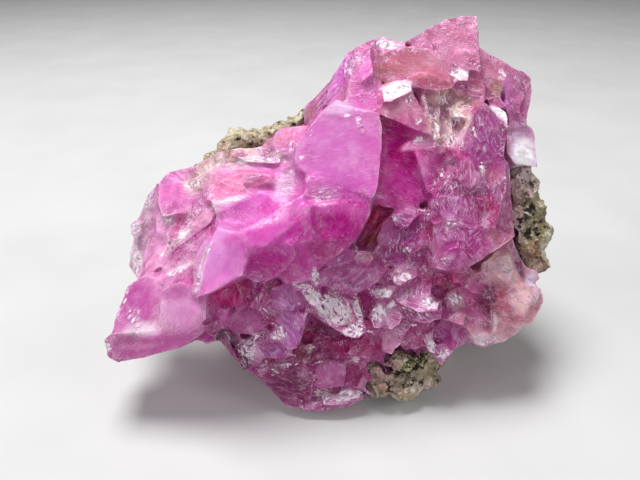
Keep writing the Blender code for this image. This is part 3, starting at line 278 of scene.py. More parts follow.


# Tints of the calcite: colour as it looks, from 0 to 255, and strength. Besides the crystals' own
# colour, some rows paint light and shade. shade_west, shade_mid, shade_east, mid_flank,
# ridge_panel, great_shadow, recess, recess_low and recess_high are painted shade on the shaded
# sides, kept saturated as a painted glow of light through the crystals; pocket, pocket_dark,
# pocket_east, nook, pit and west_step are painted shade under overhangs; bright_facet,
# spark_facet, wing_patch and east_rim are painted highlights where facets reflect the lamp;
# fibrous, fibrous_top and fibre_east are pale tan lightened further, as painted light against
# the shade of the overhang above them.
TINTS = table("""
left_side -13 -1 6 9 0 222 150 196 1
middle -4 1 7 8 0 206 84 178 1
crown 10 15 9 5 -10 204 126 162 1
east 13 4 6 8 0 164 66 132 1
apron 0 -8 9 6 0 158 62 124 1
foot_side 0 -13 6 3 0 134 56 100 1
lobes 16 -4 4 5 0 214 152 152 1
wing_crest -16 -5.5 1.8 2.6 20 174 76 146 1
wing_crest_low -16.5 -7.2 1.6 0.8 20 186 96 158 0.8
wing_lens -12.2 -6.4 2 1.8 0 216 150 196 1
wing_lens_top -12.6 -4.4 1.6 0.9 0 182 86 156 0.9
wing_front -14 -9.2 4.6 1 8 198 92 164 1
wing_tip -17.8 -9.2 0.9 1.2 0 214 134 186 0.8
wing_heel -9.6 -8.4 1 0.6 0 150 54 116 1
rim_west -15.6 1 0.8 5 -8 208 178 196 0.9
rim_west_edge -16.2 0 0.5 5 -8 230 212 222 0.9
rim_cap -12.7 3.8 1.6 1.8 0 214 118 182 1
rim_cap_top -13.2 5.5 1.2 0.6 20 190 104 172 0.9
terrace -12.9 -0.2 1.9 2.8 0 238 164 214 0.75
trough_one -12.4 1.2 0.5 1.5 -24 190 40 124 1
trough_two -10.5 0.4 1.6 0.42 42 178 50 136 1
trough_three -12.4 -1.3 1.5 0.42 29 184 60 140 1
ledge_pale -11.9 0.6 1.2 0.5 50 238 208 224 0.9
ledge_white -13.2 1.8 0.7 0.5 0 236 214 226 0.9
ledge_rose -10.4 1.9 1.4 0.9 30 234 152 192 0.9
cream_bank -10.9 5.2 1.4 1.1 45 230 204 196 0.95
cream_bank_high -9.6 6.6 1.8 0.8 38 218 200 186 0.95
shelf_grey -6.6 7.2 2.6 0.8 5 222 204 200 0.95
shelf_white -4.2 7.2 1.8 0.7 0 208 176 192 0.9
rose_bank -7.4 5 2.8 1.2 10 224 124 168 0.95
rose_bank_east -4.8 5.3 1.2 0.8 0 214 100 160 0.7
sill_white -7.9 3.5 1.6 0.4 10 240 214 228 0.9
sill_west -9.3 3.1 0.9 1 0 226 172 192 0.8
saddle -3 5 0.9 1.7 -10 206 164 196 0.9
knob -2.8 9 1.6 1 20 222 136 176 0.95
basin -6.4 2.6 2.4 1.2 10 220 108 194 1
basin_east -4.6 2.9 0.9 0.8 0 216 70 178 0.9
lip -4.9 1.5 1.8 0.4 15 230 150 204 0.9
lip_east -3.3 2.6 0.5 1 -20 232 160 208 0.8
crest_low -8.4 -1.4 2.2 2.6 0 190 104 174 1
crest_violet -9.2 -1 0.9 2.4 -12 216 146 208 0.8
crest_edge -10.5 -3.2 0.35 2.2 -12 236 196 224 0.8
crest_tail -9 -3.8 1.4 0.6 30 226 122 196 0.8
crest_high -4.4 0.4 2.6 0.9 15 202 76 170 1
crest_end -2 2.8 0.8 1.4 -20 204 84 174 0.9
mid_flank -1.9 0.9 0.9 1.2 0 184 34 142 1
shade_west -4.4 -2 2.2 1.1 0 180 24 134 1
shade_mid -2.2 -2.2 1.3 1 0 174 36 130 0.9
shade_east 0.6 -0.7 1.8 0.9 10 172 8 118 1
ridge_panel 1.6 1.2 2.6 1.4 0 168 10 122 1
panel_east 3.6 2.3 0.9 0.9 0 184 60 150 0.6
ribbed 0.4 4.2 1.8 0.9 0 168 84 146 0.9
great_top 1.6 11.2 2.2 1.2 0 194 118 180 0.9
great 1 8.2 3.4 2.6 0 200 112 182 1
great_east 4.3 6.8 1 3 0 202 84 172 0.9
great_west -1.4 7.6 0.9 1.4 0 210 116 184 0.8
great_low 1.6 5.6 2.2 0.9 -15 204 98 184 0.8
great_foot 4 4.6 0.8 0.8 0 212 84 186 0.8
crown_edge 0.3 12.2 0.5 1.8 -38 158 74 142 0.9
crown_west 1.8 14.6 0.8 1.9 -20 196 96 184 0.95
crown_rise 4 14.2 1.2 2.4 0 214 108 182 0.95
crown_rise_low 3.6 12 1.3 0.8 0 220 118 194 0.8
crown_frost 5.8 17 1.4 0.5 0 228 186 210 0.8
peach 8 15.3 3 1.4 0 190 114 130 1
peach_low 9.6 13.9 1.9 0.8 -10 182 84 106 0.95
peak 11.6 17.8 2.4 1.6 10 202 124 158 1
peak_low 12.8 16 1.4 1 0 206 110 150 0.9
peak_flank 15 15.2 1.1 1.3 0 196 122 152 0.9
shoulder 17.2 12.6 1 2.4 0 180 96 146 0.95
shoulder_violet 16.2 12.4 0.5 2 0 184 104 178 0.8
shoulder_rim 17.9 13.8 0.6 1.2 30 196 122 156 0.7
arrow 7.4 11.6 1.8 1 -20 200 122 150 1
arrow_tip 9.2 9.8 0.6 0.9 20 190 92 138 0.8
fibrous 10.6 10.4 1.5 2.4 0 250 222 200 1
stepped 13 13.4 1.2 1 0 206 106 140 0.9
red_spot 13.9 11.8 0.6 0.5 20 178 40 92 0.8
cliff_top 14.2 9 1.5 2.2 0 158 54 132 1
cliff_top_west 12.9 9.6 0.7 1.4 0 180 60 126 0.8
cliff_top_east 15.6 7.8 0.6 1.4 0 160 66 130 0.8
recess 7 7 2 3.2 0 204 16 146 1
recess_low 7.6 4.6 2.4 1.6 0 192 42 150 1
recess_foot 6 3.4 1.4 0.7 0 196 70 150 0.8
recess_high 6.6 9.6 1.3 0.8 0 190 24 132 0.9
recess_frost 8.6 8.4 1.1 0.6 10 200 116 160 0.9
magenta_step 11.2 7.4 1.4 0.5 0 204 36 130 0.9
recess_east 10.9 6 1 1.4 0 160 52 122 0.9
cliff_face 13.2 4.6 2.6 2.4 0 146 42 108 1
cliff_red 14.8 2.4 1 1.3 0 184 36 100 0.9
cliff_salmon 15.2 5.6 0.7 0.9 0 186 96 120 0.8
cliff_violet 11.4 3.2 1.4 1.4 0 152 60 132 0.8
brow 12.4 -0.6 2.4 1.4 0 164 58 132 1
brow_west 10.2 -0.4 0.4 1.6 0 208 120 168 0.8
brow_east 15.2 0.4 1.1 0.5 20 176 112 124 0.8
east_rim 17.8 7.3 1.6 2 0 238 234 246 1
east_rim_top 17.3 9.7 1.5 0.7 0 176 136 172 0.9
cliff_side 16.3 4.4 0.4 2.6 0 188 120 150 0.8
purple 7.4 0.8 2.2 1.4 0 144 48 122 1
purple_red 9.3 0.6 0.5 1 20 150 28 78 0.8
purple_low 7 -1.4 2.2 0.8 0 148 34 118 0.9
strip 9.2 -3 0.6 1.2 0 164 54 100 0.9
crevice 4.6 1.8 1.2 1 50 176 8 50 1
brown_tooth 4.2 0.2 0.6 0.8 -20 170 62 56 0.9
pocket -8 -4.6 1.6 1.2 10 190 6 110 1
pocket_dark -7 -4.1 0.6 0.8 0 176 0 92 0.9
pocket_east -6.4 -4.6 0.35 1 0 190 14 112 0.8
sill -9 -6.8 0.8 0.8 0 184 92 156 0.9
lilac_lens -6.4 -7 1.8 1.1 -10 178 86 146 1
nook -4.1 -3.8 0.5 0.6 0 190 0 100 0.9
splinter -5.1 -5.2 0.9 0.9 0 180 90 146 0.9
splinter_red -4.2 -6.6 0.6 0.8 0 158 44 112 0.8
lilac_top -2.6 -5 1.3 1.2 0 186 108 176 0.95
lilac_spur -2.4 -8 1.2 1.8 15 172 100 170 0.95
lilac_low -4 -9.5 1.1 0.6 0 172 92 168 0.9
frost_block -6.2 -9.6 1 1.2 0 180 126 164 0.95
west_step -7.4 -9.5 0.7 2.8 41 60 4 36 1
low_dark -3.6 -10.8 2.2 0.5 0 110 26 66 0.95
russet -2.8 -12.6 1.9 1.4 0 112 32 78 0.95
russet_east -1.3 -13.6 0.5 1 0 108 26 58 0.9
pink_block 1 -11.7 1.3 1.1 0 162 80 132 0.95
foot 1.2 -13.8 2.2 0.8 5 178 118 160 0.95
pit -0.9 -8.1 0.5 0.7 0 176 0 60 1
rubble -1.2 -9.6 1 0.9 0 136 74 92 0.9
floor_red 2 -9.3 2.2 0.9 0 150 10 88 0.95
floor_red_east 4.4 -9 0.9 1.2 0 172 28 106 0.9
floor_red_low 3.3 -11.6 0.7 1.2 0 158 50 94 0.9
plate 1.2 -6.2 2.2 1.6 -30 180 96 156 0.9
plate_pink 2.7 -6.6 0.7 0.7 0 196 122 146 0.6
gap 4.2 -6.4 0.5 1.6 10 190 30 130 0.9
oval 2.8 -3.2 2.4 1.1 10 170 76 142 1
oval_top 1.8 -2.2 1.2 0.5 20 170 96 152 0.8
pebble 3.8 -1.5 0.7 0.5 0 196 142 152 0.9
knot 7.2 -3.1 1.1 0.7 0 200 146 176 0.8
fan_upper 7.2 -4.4 2.4 0.6 0 176 96 150 0.9
fan_lower 8.8 -6.2 1.6 0.8 -15 178 98 156 0.9
fan_white 9.6 -5.3 0.9 0.5 0 222 200 216 0.8
lens_white 5.3 -6.4 0.9 0.9 0 222 190 214 0.9
lens_pink 6.6 -6.8 0.6 0.6 0 190 84 150 0.9
horn 6.3 -8.6 0.9 1.1 20 196 136 168 0.95
grit_face 8.6 -8 1.2 0.9 0 164 76 120 0.9
blade 9.6 -9 0.4 0.9 0 222 204 208 0.9
toe 4.8 -11.4 1 1.2 0 176 122 132 0.9
tooth_west 10.8 -8.4 0.9 1.1 0 166 66 146 0.95
tooth_low 10.6 -10 0.7 0.8 0 206 160 196 0.9
tooth_east 12.2 -8.4 0.7 1 0 164 70 134 0.9
sill_east 11.6 -6.4 0.9 0.5 0 204 122 162 0.9
lobe_floor 11.2 -3.7 1.4 0.8 0 190 20 100 0.95
lobe_grit 11.8 -5 0.8 0.7 0 204 160 176 0.9
lobe_pink 13.2 -4.2 1.4 0.9 0 190 84 146 1
lobe_heart 15.1 -5.2 1.3 1.7 0 132 20 60 1
lobe_rust 15.9 -6.9 1.4 0.5 0 166 84 82 0.9
lobe_peach 16 -2.3 1.9 1.5 -30 240 208 204 1
lobe_east 17.5 -5.2 1.3 1.2 0 226 190 188 0.95
lobe_rim 19 -4.8 0.5 1.2 0 226 202 216 0.85
lobe_lens 14.6 -7.4 0.8 0.8 0 158 94 108 1
lobe_hem 14.2 -8.8 1.8 0.6 0 232 216 222 0.95
lobe_hem_east 16.8 -7.9 1.6 0.45 25 214 176 180 0.9
lobe_grey 17.35 -1.9 0.5 1.8 14 84 30 56 1
bright_facet 6.7 13.1 1.25 0.7 14 250 248 252 1
spark_facet 15.6 11.1 1.15 0.42 -50 250 248 252 1
inset_block 12.3 14.4 0.7 0.5 0 232 218 226 0.9
cliff_tear 14.1 6.1 0.25 0.45 0 244 230 240 1
wing_patch -15.5 -7.7 1.7 0.6 8 228 206 222 0.95
wing_right -10.6 -5.6 0.9 1.2 0 204 118 180 0.8
terrace_rose -11.6 -3.3 1.2 0.7 20 196 86 154 0.8
lobe_magenta 13.3 -6 0.9 1.4 0 156 22 100 1
lobe_frost 18.3 -3.4 0.8 0.5 35 222 214 236 0.9
crack 12.3 11.9 1.2 0.5 25 216 158 104 0.8
nook_tan 15.5 13.2 0.6 0.7 0 176 140 104 0.85
great_lens 1.7 11.6 1.3 0.75 10 214 180 212 0.95
great_shadow 1.3 10.7 1.5 0.25 -12 176 84 154 0.8
ledge_line -12.2 -2.2 1.5 0.3 14 244 214 228 1
ledge_fold -13.5 -0.9 1.4 0.55 48 228 150 190 0.85
fibrous_top 10.8 11.9 1.7 1.1 0 255 240 214 1
crest_seam -6.6 0.3 1.8 0.7 10 196 74 164 0.8
lobe_arc 16.2 -3.2 1.3 0.28 -32 240 210 208 0.85
lobe_hook 15.1 -7.2 0.2 0.8 10 232 200 206 0.85
lobe_fold 16.6 -6.3 1.6 0.22 8 224 184 186 0.8
lobe_core 14.8 -5.5 1.2 1.6 10 84 0 34 1
lobe_core_low 16 -6 1.2 0.6 -10 128 36 54 0.95
fibre_east 11.9 10.4 1 1 0 255 228 202 0.95
lobe_hook_again 15.25 -7.3 0.22 0.9 10 240 214 220 1
brow_glint 11.3 1.3 0.7 0.9 10 214 160 200 0.6
great_fade 2.2 3.9 2.6 0.8 -4 192 72 164 0.85
panel_brow 2.2 3 2.7 0.6 -3 178 30 138 0.95
ribs 0.5 3.9 1 0.7 0 170 96 152 0.9
wing_streak -15.8 -9.3 1.7 0.3 6 222 150 192 0.8
lobe_salmon 15.9 -5 0.7 1.4 0 166 78 90 0.8
lobe_ring 14 -9.1 1.6 0.2 4 244 230 236 0.9
shelf_back -6.6 8.1 2.8 0.5 10 206 180 166 0.95
shelf_crack -8 7.3 0.5 0.3 0 96 66 54 0.8
peach_lip 10.2 13.3 1.6 0.5 -4 184 88 108 0.9
""")

# White frost of many tiny broken faces, whose white is partly painted glints of those faces
# catching the light, and wholly painted highlights at bright_facet, spark_facet, wing_patch and
# east_rim: strength.
FROST_AND_GLINTS = table("""
wing_patch -15.5 -7.7 1.5 0.5 8 0.42
wing_specks -16.2 -6.5 0.8 0.8 0 0.5
wing_edge -17.2 -5.6 0.3 2.2 -18 0.5
wing_point -18.6 -9.3 0.5 0.9 20 0.7
lens_specks -12.6 -7.2 0.9 0.5 20 0.3
west_rim -15.9 -1.6 0.6 1.8 0 0.75
west_bead -16.1 1 0.5 0.7 0 0.8
west_high -15 3.6 0.5 1.5 -20 0.6
ledge_a -13.3 1.9 0.5 0.4 0 0.7
ledge_b -11.9 0.6 0.9 0.5 45 0.85
ledge_c -13.6 -1 1.2 0.5 40 0.55
ledge_d -12.6 -2.6 1.2 0.4 20 0.7
ledge_e -13 0 1.4 0.5 45 0.5
ledge_f -10.8 2.4 0.9 0.6 30 0.5
riser_edge -10.6 -3.4 0.25 2 -12 0.8
riser_top -9.7 -0.6 0.25 0.8 -25 0.7
cream -11 5 0.9 0.5 10 0.8
cream_b -9.7 4.2 0.7 0.9 -20 0.5
bank_top -8.8 6.9 1.6 0.6 35 0.5
shelf -5.6 7.1 2.6 0.6 0 0.6
shelf_east -3.6 7 1 0.6 0 0.45
sill -7.6 3.6 1.5 0.3 8 0.65
sill_b -9.2 3.2 0.6 0.8 0 0.6
saddle -2.9 5.3 0.8 1.4 -10 0.4
knob_east -2.4 8.2 0.5 0.9 0 0.6
lip -4.8 1.6 1.6 0.3 15 0.5
lip_b -3.3 3 0.4 0.9 -20 0.5
great_spark_a -1.6 7.2 0.35 0.25 0 0.9
great_spark_b 3.4 10.2 0.3 1 15 0.55
great_spark_c 2.4 10.7 0.5 0.3 0 0.5
great_spark_d -0.8 9.3 0.2 0.3 0 0.8
great_haze 1.8 12.2 1.2 0.6 10 0.4
great_edge 5.3 9.6 0.15 1 0 0.6
ribbed_lines 0.3 3.9 0.9 0.8 0 0.45
ribbed_b -1 5.3 0.9 0.4 0 0.5
crown_a 2.4 15 0.7 1.2 -20 0.55
crown_b 3.4 15.8 0.6 0.7 0 0.6
crown_c 5.9 17.1 1.2 0.5 -10 0.9
crown_d 4.3 13.2 0.5 0.8 0 0.35
bright_facet 6.6 13.1 1.3 0.6 12 1
arrow_a 7.9 12.3 0.7 0.4 20 0.6
arrow_b 8.6 10.4 0.3 0.5 -30 0.7
fibre_a 10.2 9.4 0.7 1.4 0 0.75
fibre_b 9.4 11.4 0.4 1.6 22 0.8
fibre_c 11.2 8.9 0.8 0.8 0 0.65
fibre_d 11.8 10.6 0.9 0.7 20 0.7
inset 12.1 14.4 0.8 0.6 0 0.85
nook 15.9 14.3 0.5 0.7 0 0.7
stepped 13.2 13.7 1 0.6 0 0.35
spark_facet 15.7 11.1 1 0.45 -50 1
spark_tail 16.1 9.6 0.4 0.5 30 0.7
shoulder_rim 18 13.6 0.4 1.2 0 0.35
recess_a 8.5 8.7 0.6 0.4 0 0.8
recess_b 7.6 7.9 0.8 0.3 10 0.4
cliff_triangle 14.1 6.2 0.3 0.5 0 0.95
cliff_a 13.4 9.4 0.3 0.8 10 0.55
cliff_b 12.2 8.2 0.4 0.5 0 0.6
cliff_c 15.3 8.6 0.2 1 0 0.4
cliff_d 10.8 5.8 0.6 0.6 0 0.45
cliff_e 13.2 4.4 1.4 0.5 20 0.35
cliff_f 11.2 1.2 0.5 0.9 0 0.5
cliff_g 14 2 0.7 0.7 0 0.35
cliff_h 14.5 4 0.3 0.5 0 0.6
east_rim 17.7 7.6 0.9 0.9 0 0.6
side_edge 16.2 5 0.3 1.8 0 0.5
brow_a 12.2 -0.1 1.6 0.3 10 0.3
brow_b 10.9 -1.9 0.8 0.3 -15 0.5
purple_a 8.9 2.5 0.9 0.3 -20 0.6
purple_b 6.4 1.8 0.6 0.3 30 0.6
purple_c 7.5 -0.9 0.6 0.3 20 0.6
pebble 3.2 -0.7 0.5 0.3 40 0.8
grit_spur -0.4 -3.1 0.35 0.9 0 0.95
grit_row -1.6 -4 1.2 0.3 -10 0.7
plate_west -0.6 -4.9 1.1 0.7 -20 1
plate 1.2 -6 2 1.3 -30 0.95
plate_low 2.9 -7.9 1.1 0.7 10 0.9
plate_east 3.4 -6 0.4 1.4 12 0.9
knot 7.1 -3.2 1 0.7 0 0.75
fan_a 5.4 -4.6 1.4 0.6 0 0.9
fan_b 8 -4.6 1.4 0.4 0 0.55
fan_c 9.6 -5.4 0.9 0.5 0 0.85
fan_d 8.4 -6.3 1.5 0.6 -20 0.55
lens 5.1 -6.3 0.8 0.8 0 0.85
spark_low 4.4 -8.1 0.5 0.3 -40 0.6
splinter -5.2 -4.9 0.7 0.7 60 0.5
splinter_b -4.9 -6.2 0.8 0.4 -30 0.6
spur -3.6 -8.3 0.9 0.7 0 0.75
spur_b -1.9 -7.2 0.5 0.8 -30 0.35
block -6.2 -9.5 1 1.1 0 0.8
block_b -7.9 -8.5 0.5 0.8 20 0.5
thread -2.8 -10.9 1 0.2 8 0.8
rubble -1 -9.4 0.9 0.7 0 0.5
foot_a 0.6 -13.6 1.5 0.7 -10 0.75
foot_b 2.6 -13.4 1.4 0.4 0 0.95
blade 9.6 -9 0.4 0.9 0 0.85
tooth 10.7 -9.9 0.6 0.7 0 0.8
lobe_grit 11.8 -5 0.7 0.7 0 0.8
lobe_a 16.4 -2.6 1.2 0.6 -30 0.5
lobe_b 15.6 -1.6 0.9 0.4 -30 0.4
lobe_c 17.6 -5.2 1.1 0.7 0 0.35
lobe_d 18.7 -3.8 0.7 0.5 -30 0.6
lobe_e 14.8 -9 1.4 0.4 0 0.55
russet_a -4 -11.5 0.6 0.4 -20 0.6
peak_rim_a 10.6 18.4 1.6 0.14 22 0.45
peak_rim_b 12.7 19.1 0.9 0.14 2 0.45
peak_rim_c 13.45 17.8 0.12 1.2 0 0.4
slope_rim 15.4 15.2 1.5 0.12 -30 0.4
arrow_edge 8.9 11.4 0.14 1.8 22 0.5
lobe_arc 16.2 -3.2 1.2 0.25 -32 0.5
apron_a 6.2 -5.6 0.5 0.3 20 0.8
apron_b 1.8 -8.9 0.8 0.2 0 0.6
apron_c -5.6 -8.4 0.5 0.3 30 0.7
apron_d 8 -7.4 0.7 0.25 -20 0.7
apron_e 3 -10.4 0.6 0.25 0 0.6
apron_f -0.2 -10.6 0.7 0.22 10 0.7
apron_g 11.4 -7.2 0.5 0.3 0 0.5
brow_c 11.4 1.4 0.5 0.6 10 0.55
crown_e 9.2 16.4 1.4 0.14 0 0.5
lobe_ring 14 -9 1.4 0.2 4 0.5
fibre_e 10.6 12.3 0.9 0.7 0 0.55
fibre_f 11.9 11.2 0.7 0.4 20 0.5
lilac_a -2.2 -5.7 0.8 0.22 40 0.55
lilac_b -3.5 -7.5 0.9 0.3 -20 0.65
lilac_c -1.2 -6.2 0.22 0.9 -22 0.6
lens_rim -6.2 -8.1 1.2 0.16 6 0.5
peach_rim 8 16.6 1.8 0.14 6 0.45
""")

# Rust-brown stain in the cracks: strength.
STAIN = table("""
crack 12.9 12.3 1.3 0.28 -18 0.9
crack_west 11.6 11.6 0.28 1.1 -35 0.9
crack_east 13.7 12 0.7 0.4 0 0.6
fibres 10.6 9.4 0.9 1.3 0 0.2
nook 15.4 13.2 0.8 0.8 0 0.75
crown 5.5 14.4 0.9 1 20 0.9
crown_edge 5.6 16.2 1.4 0.3 25 0.4
bank -9 7.4 1.8 0.7 35 0.6
bank_low -7.8 7.1 0.7 0.6 0 0.6
edge -0.9 11.3 0.5 0.9 -30 0.7
cliff_side 16.5 3.4 0.5 2.4 0 0.4
brow_east 15.6 0.2 1.1 0.5 20 0.4
tooth 4.5 0 0.6 0.7 -20 0.7
toe 4.8 -12.2 1.2 1 0 0.7
rubble -1.4 -9.8 0.8 0.6 0 0.4
""")

# How broken the surface is: roughness from 0 to 1.
BREAKAGE = table("""
all_west -13 0 8 10 0 0.35
all_middle 0 8 8 8 0 0.3
all_crown 11 15 8 5 0 0.45
all_east 14 4 6 8 0 0.5
all_apron 2 -8 12 7 0 0.5
great 2 8.4 3.6 3.4 0 0.1
recess 7.4 6.6 2.2 3.4 0 0.2
crest -8.4 -1.6 2.2 2.8 0 0.08
crest_high -4.2 0.4 2.6 1 15 0.1
basin -6 2.6 2.6 1.2 0 0.3
shade -2.6 -1.8 3.6 1.6 0 0.22
panel 1.4 1.6 2.6 1.4 0 0.2
wing -15.8 -5.4 1.6 2.2 0 0.12
wing_lens -12 -6.2 1.8 1.8 0 0.15
wing_front -14 -9.2 4 1 8 0.2
rim_cap -12.7 3.8 1.5 1.6 0 0.2
peach 8 15.2 2.8 1.3 0 0.25
peak 11.8 17.6 2.2 1.8 0 0.32
fibrous 11 10.4 1.8 2.2 0 0.8
crack 12.6 12 1.6 1 0 0.8
cliff_top 14.2 9.2 1.2 1.8 0 0.4
oval 3 -3.2 2.2 1 10 0.3
lilac_lens -6.6 -7 1.5 1 -10 0.2
spur -2.6 -7 1.2 2.2 0 0.35
brow 12.4 -0.8 2 1.2 0 0.35
lobes 16.4 -4.6 3 4 0 0.35
plate 1.2 -6 2.2 1.6 -30 1
rubble -1 -9.6 1.4 1.2 0 1
floor 2.4 -9.4 2.6 1 0 0.35
russet -2.8 -12.6 1.8 1.4 0 0.2
east_rim 17.7 8 1.2 1.4 0 0.15
pink_block 1 -11.7 1.3 1.1 0 0.2
fan 8 -5.2 2.6 1.4 0 0.6
foot 1.6 -13.6 2 0.8 0 0.7
pocket -7.6 -4.8 1.6 1.2 0 0.3
terrace -12.2 0.4 2.2 3 0 0.5
shelf -5.6 7.3 2.8 0.9 5 0.75
cliff 13.2 4.6 2.4 3.4 0 0.4
""")

# Rows of fine parallel lines: direction across the lines in degrees, lines in a
# millimetre, and strength.
LINES = table("""
west_steps -7.5 -9.6 1 2.8 41 41 2.4 0.4
fan_upper 7.4 -4.5 2.4 0.7 0 152 2.2 0.9
fan_lower 8.6 -6.1 1.8 0.9 -15 58 2.2 0.9
ribbed 0.3 3.9 1 0.9 0 86 2.2 1
crown_edge 0.6 12.6 0.9 1.8 -38 130 2.4 0.9
fibres 10.6 10.2 1.4 2.4 0 14 2.4 0.9
stepped 13 13.2 1.4 1 0 84 2.2 0.9
great 2 7.4 3.4 3.6 0 100 0.8 0.08
wing -15.4 -5.6 2.4 2.8 0 150 0.9 0.1
crest -8.4 -2 2.2 2.8 0 165 0.8 0.08
recess 7.2 6.6 2 3 0 70 1 0.08
oval 2.8 -3.2 2.2 1 10 125 1.8 0.5
plate 1.4 -6 2.4 1.4 -30 40 2.6 0.9
cliff 13 4.6 2.8 2.6 0 172 1.2 0.5
cliff_top 14.2 9.2 1.6 2.2 0 8 1.4 0.4
lobe 16.6 -5 2.4 3.4 0 70 1 0.3
spur -2.6 -7 1.4 2.6 0 40 1.9 0.6
bank -7 5.6 3.4 1.8 0 100 1.4 0.5
terrace -12.4 0 2.6 3.6 0 132 1.5 0.3
foot 1.2 -13.8 2.4 0.8 0 88 2.2 0.8
russet -2.8 -12.8 1.8 1.6 0 78 2 0.25
""")

# Where one crystal flows into the next: softness.
SOFT = table("""
all 0 0 40 40 0 0.05
crest_join -7.2 -0.2 2.6 2.2 -30 1
crest_low -8.6 -2.2 2 2.4 -10 0.45
crest_high -4.6 0.7 3 1.3 20 0.8
basin -5.6 2.6 3.2 1.6 10 0.7
bank -7 5.6 4 2.4 5 0.5
saddle -3 5.2 1.4 2.2 0 0.8
knob -2.6 8.4 1.8 1.6 0 0.7
great_low 0.6 4.8 2.6 1.2 0 0.7
great_top 1.4 11.4 2.4 1.4 0 0.7
crown 3.4 14.2 2.4 2.4 0 0.4
flank -1.6 1.2 1.6 1.8 0 0.5
panel 2.2 1.8 2.2 1.6 0 0.3
shade -2.6 -1.8 3 1.2 0 0.4
peach 8.6 15 3.2 1.6 0 0.6
peak 12 16.8 2.4 2 0 0.4
shoulder 16.4 13.6 1.6 2.2 0 0.3
recess 7.4 6.4 2.2 3.2 0 0.6
cliff 13.6 7.4 2.2 3.4 0 0.5
terrace -12.4 1 2.8 4 0 0.3
wing_join -13.6 -5.6 2.2 3 0 0.4
wing_front -13.4 -8.4 4 1.4 0 0.4
lobes 16.4 -5 2.6 3.6 0 0.35
lobe_west 13.8 -5 1.6 2.6 0 0.3
spur -2.8 -7 1.2 2.6 0 0.3
panel_top 2.2 3.1 2.8 0.9 -4 0.9
""")

# Where the tints run on over the joins between the faces: share.
BLENDED = table("""
lobes 16.2 -4.5 3.4 4.6 0 1
cap 17.7 8 1.6 2 0 1
wing -15 -7.6 4 2.4 0 0.7
rim -15.8 0 1 5 -8 0.7
cream -9.8 6 2.4 1.6 35 0.6
""")

# Tints of the rock: colour as it looks, from 0 to 255, and strength.
ROCK_TINTS = table("""
crust -5.5 9 6 3 25 196 182 152 1
rim 18.2 1.5 3 6 0 158 146 120 1
patch 7.5 -11 4 4 0 172 156 132 1
crust_rose -9 7.6 1.6 0.9 35 206 178 162 0.8
crust_east -1.6 10.9 1.6 1 35 178 160 136 0.8
rim_high 17.6 5.2 1.6 1.8 0 218 190 192 0.95
rim_west 16.9 2.4 0.8 3 0 196 150 158 0.9
rim_olive 19 1.6 1.2 1.6 0 150 136 98 0.8
rim_rust 18.6 -0.9 0.8 0.9 -20 160 104 70 0.8
rim_pale 19.8 -0.6 0.6 1.6 0 206 200 172 0.8
rim_foot 19.2 -2.3 1.2 0.7 0 188 150 146 0.7
patch_gold 8.3 -10.9 1.3 0.8 20 196 190 130 0.9
patch_smooth 8.9 -12.8 1 0.8 20 196 180 172 0.9
patch_rose 5.2 -11.4 1.6 1.8 0 206 158 162 0.95
patch_foot 6 -13.2 1.8 0.8 0 158 128 108 0.9
""")

# Black pores of the rock: strength.
PORES = table("""
all 0 0 40 40 0 0.15
crust -5.5 9 5 1.4 25 0.55
crust_crack -7.9 7.6 0.6 0.5 0 0.8
rim 18.8 1.2 1.5 2.4 0 0.7
rim_pit 17.7 5.1 0.5 0.4 0 0.8
rim_crack 17.3 1.6 0.5 1.8 -20 0.9
patch 8 -10.8 2 1.6 20 1
patch_foot 6.4 -13 2.4 1 0 0.6
""")

# Where the rock is worn smoother: softness.
ROCK_SOFT = table("""
all 0 0 40 40 0 0.1
crust -5.5 9 6 2.6 25 0.5
""")


def sight_hit(tree, u, v):
    """Where a point of the display plane lands on the stone: its place across, up and out."""
    through = from_plane((u, v, 0))
    spot = tree.ray_cast(Vector(EYE), Vector(through - EYE).normalized())[0]
    return to_plane(through if spot is None else np.array(spot))


def falloff(places, row, tree, depth):
    """A row's part at each place: 1 inside its tilted oval patch, easing to 0 past its rim."""
    u, v, reach_u, reach_v, turn = row[1:6]
    d = places - sight_hit(tree, u, v)
    c = math.cos(math.radians(turn))
    s = math.sin(math.radians(turn))
    along = (d[:, 0] * c + d[:, 1] * s) / reach_u
    aside = (d[:, 1] * c - d[:, 0] * s) / reach_v
    r = np.sqrt(along ** 2 + aside ** 2 + (d[:, 2] / depth) ** 2)
    return np.clip(PATCH_TOP - PATCH_FALL * r, 0, 1)


def spread(places, rows, tree):
    """The part of each row of a table at each place: rows down, places across."""
    return np.array([falloff(places, row, tree, DEPTH_ROOM + max(row[3:5])) for row in rows])


def layered(places, rows, broad, values, strengths, tree):
    """A table's values at each place: the mean of its broad rows, then each other row over it."""
    parts = spread(places, rows, tree)
    under = parts[:broad] + BROAD_FLOOR
    out = under.T @ values[:broad] / under.sum(axis=0)[:, None]
    for value, part, strength in zip(values[broad:], parts[broad:], strengths[broad:]):
        t = (part * strength)[:, None]
        out = out * (1 - t) + value * t
    return out


def linear(rgb):
    """A colour as it looks, from 0 to 255, to the light it stands for, by the sRGB curve."""
    c = np.array(rgb, dtype=float) / 255
    return np.where(c <= 0.04045, c / 12.92, ((c + 0.055) / 1.055) ** 2.4)


def tinted(places, rows, broad, tree):
    """The tint of the stone at each place, of a table with a colour and a strength in each row."""
    colours = np.array([linear(row[6:9]) for row in rows])
    return layered(places, rows, broad, colours, [row[9] for row in rows], tree)


def breakage(places, tree):
    """How broken the stone is at each place."""
    values = np.array([row[6:7] for row in BREAKAGE])
    return layered(places, BREAKAGE, BROAD_BREAKS, values, np.ones(len(BREAKAGE)), tree)[:, 0]


def amount(places, rows, tree):
    """The strongest row of a table at each place."""
    strengths = np.array([row[6:7] for row in rows])
    return (spread(places, rows, tree) * strengths).max(axis=0)


# ---------------------------------------------------------------- relief

CALCITE_SEED = 11
ROCK_SEED = 23
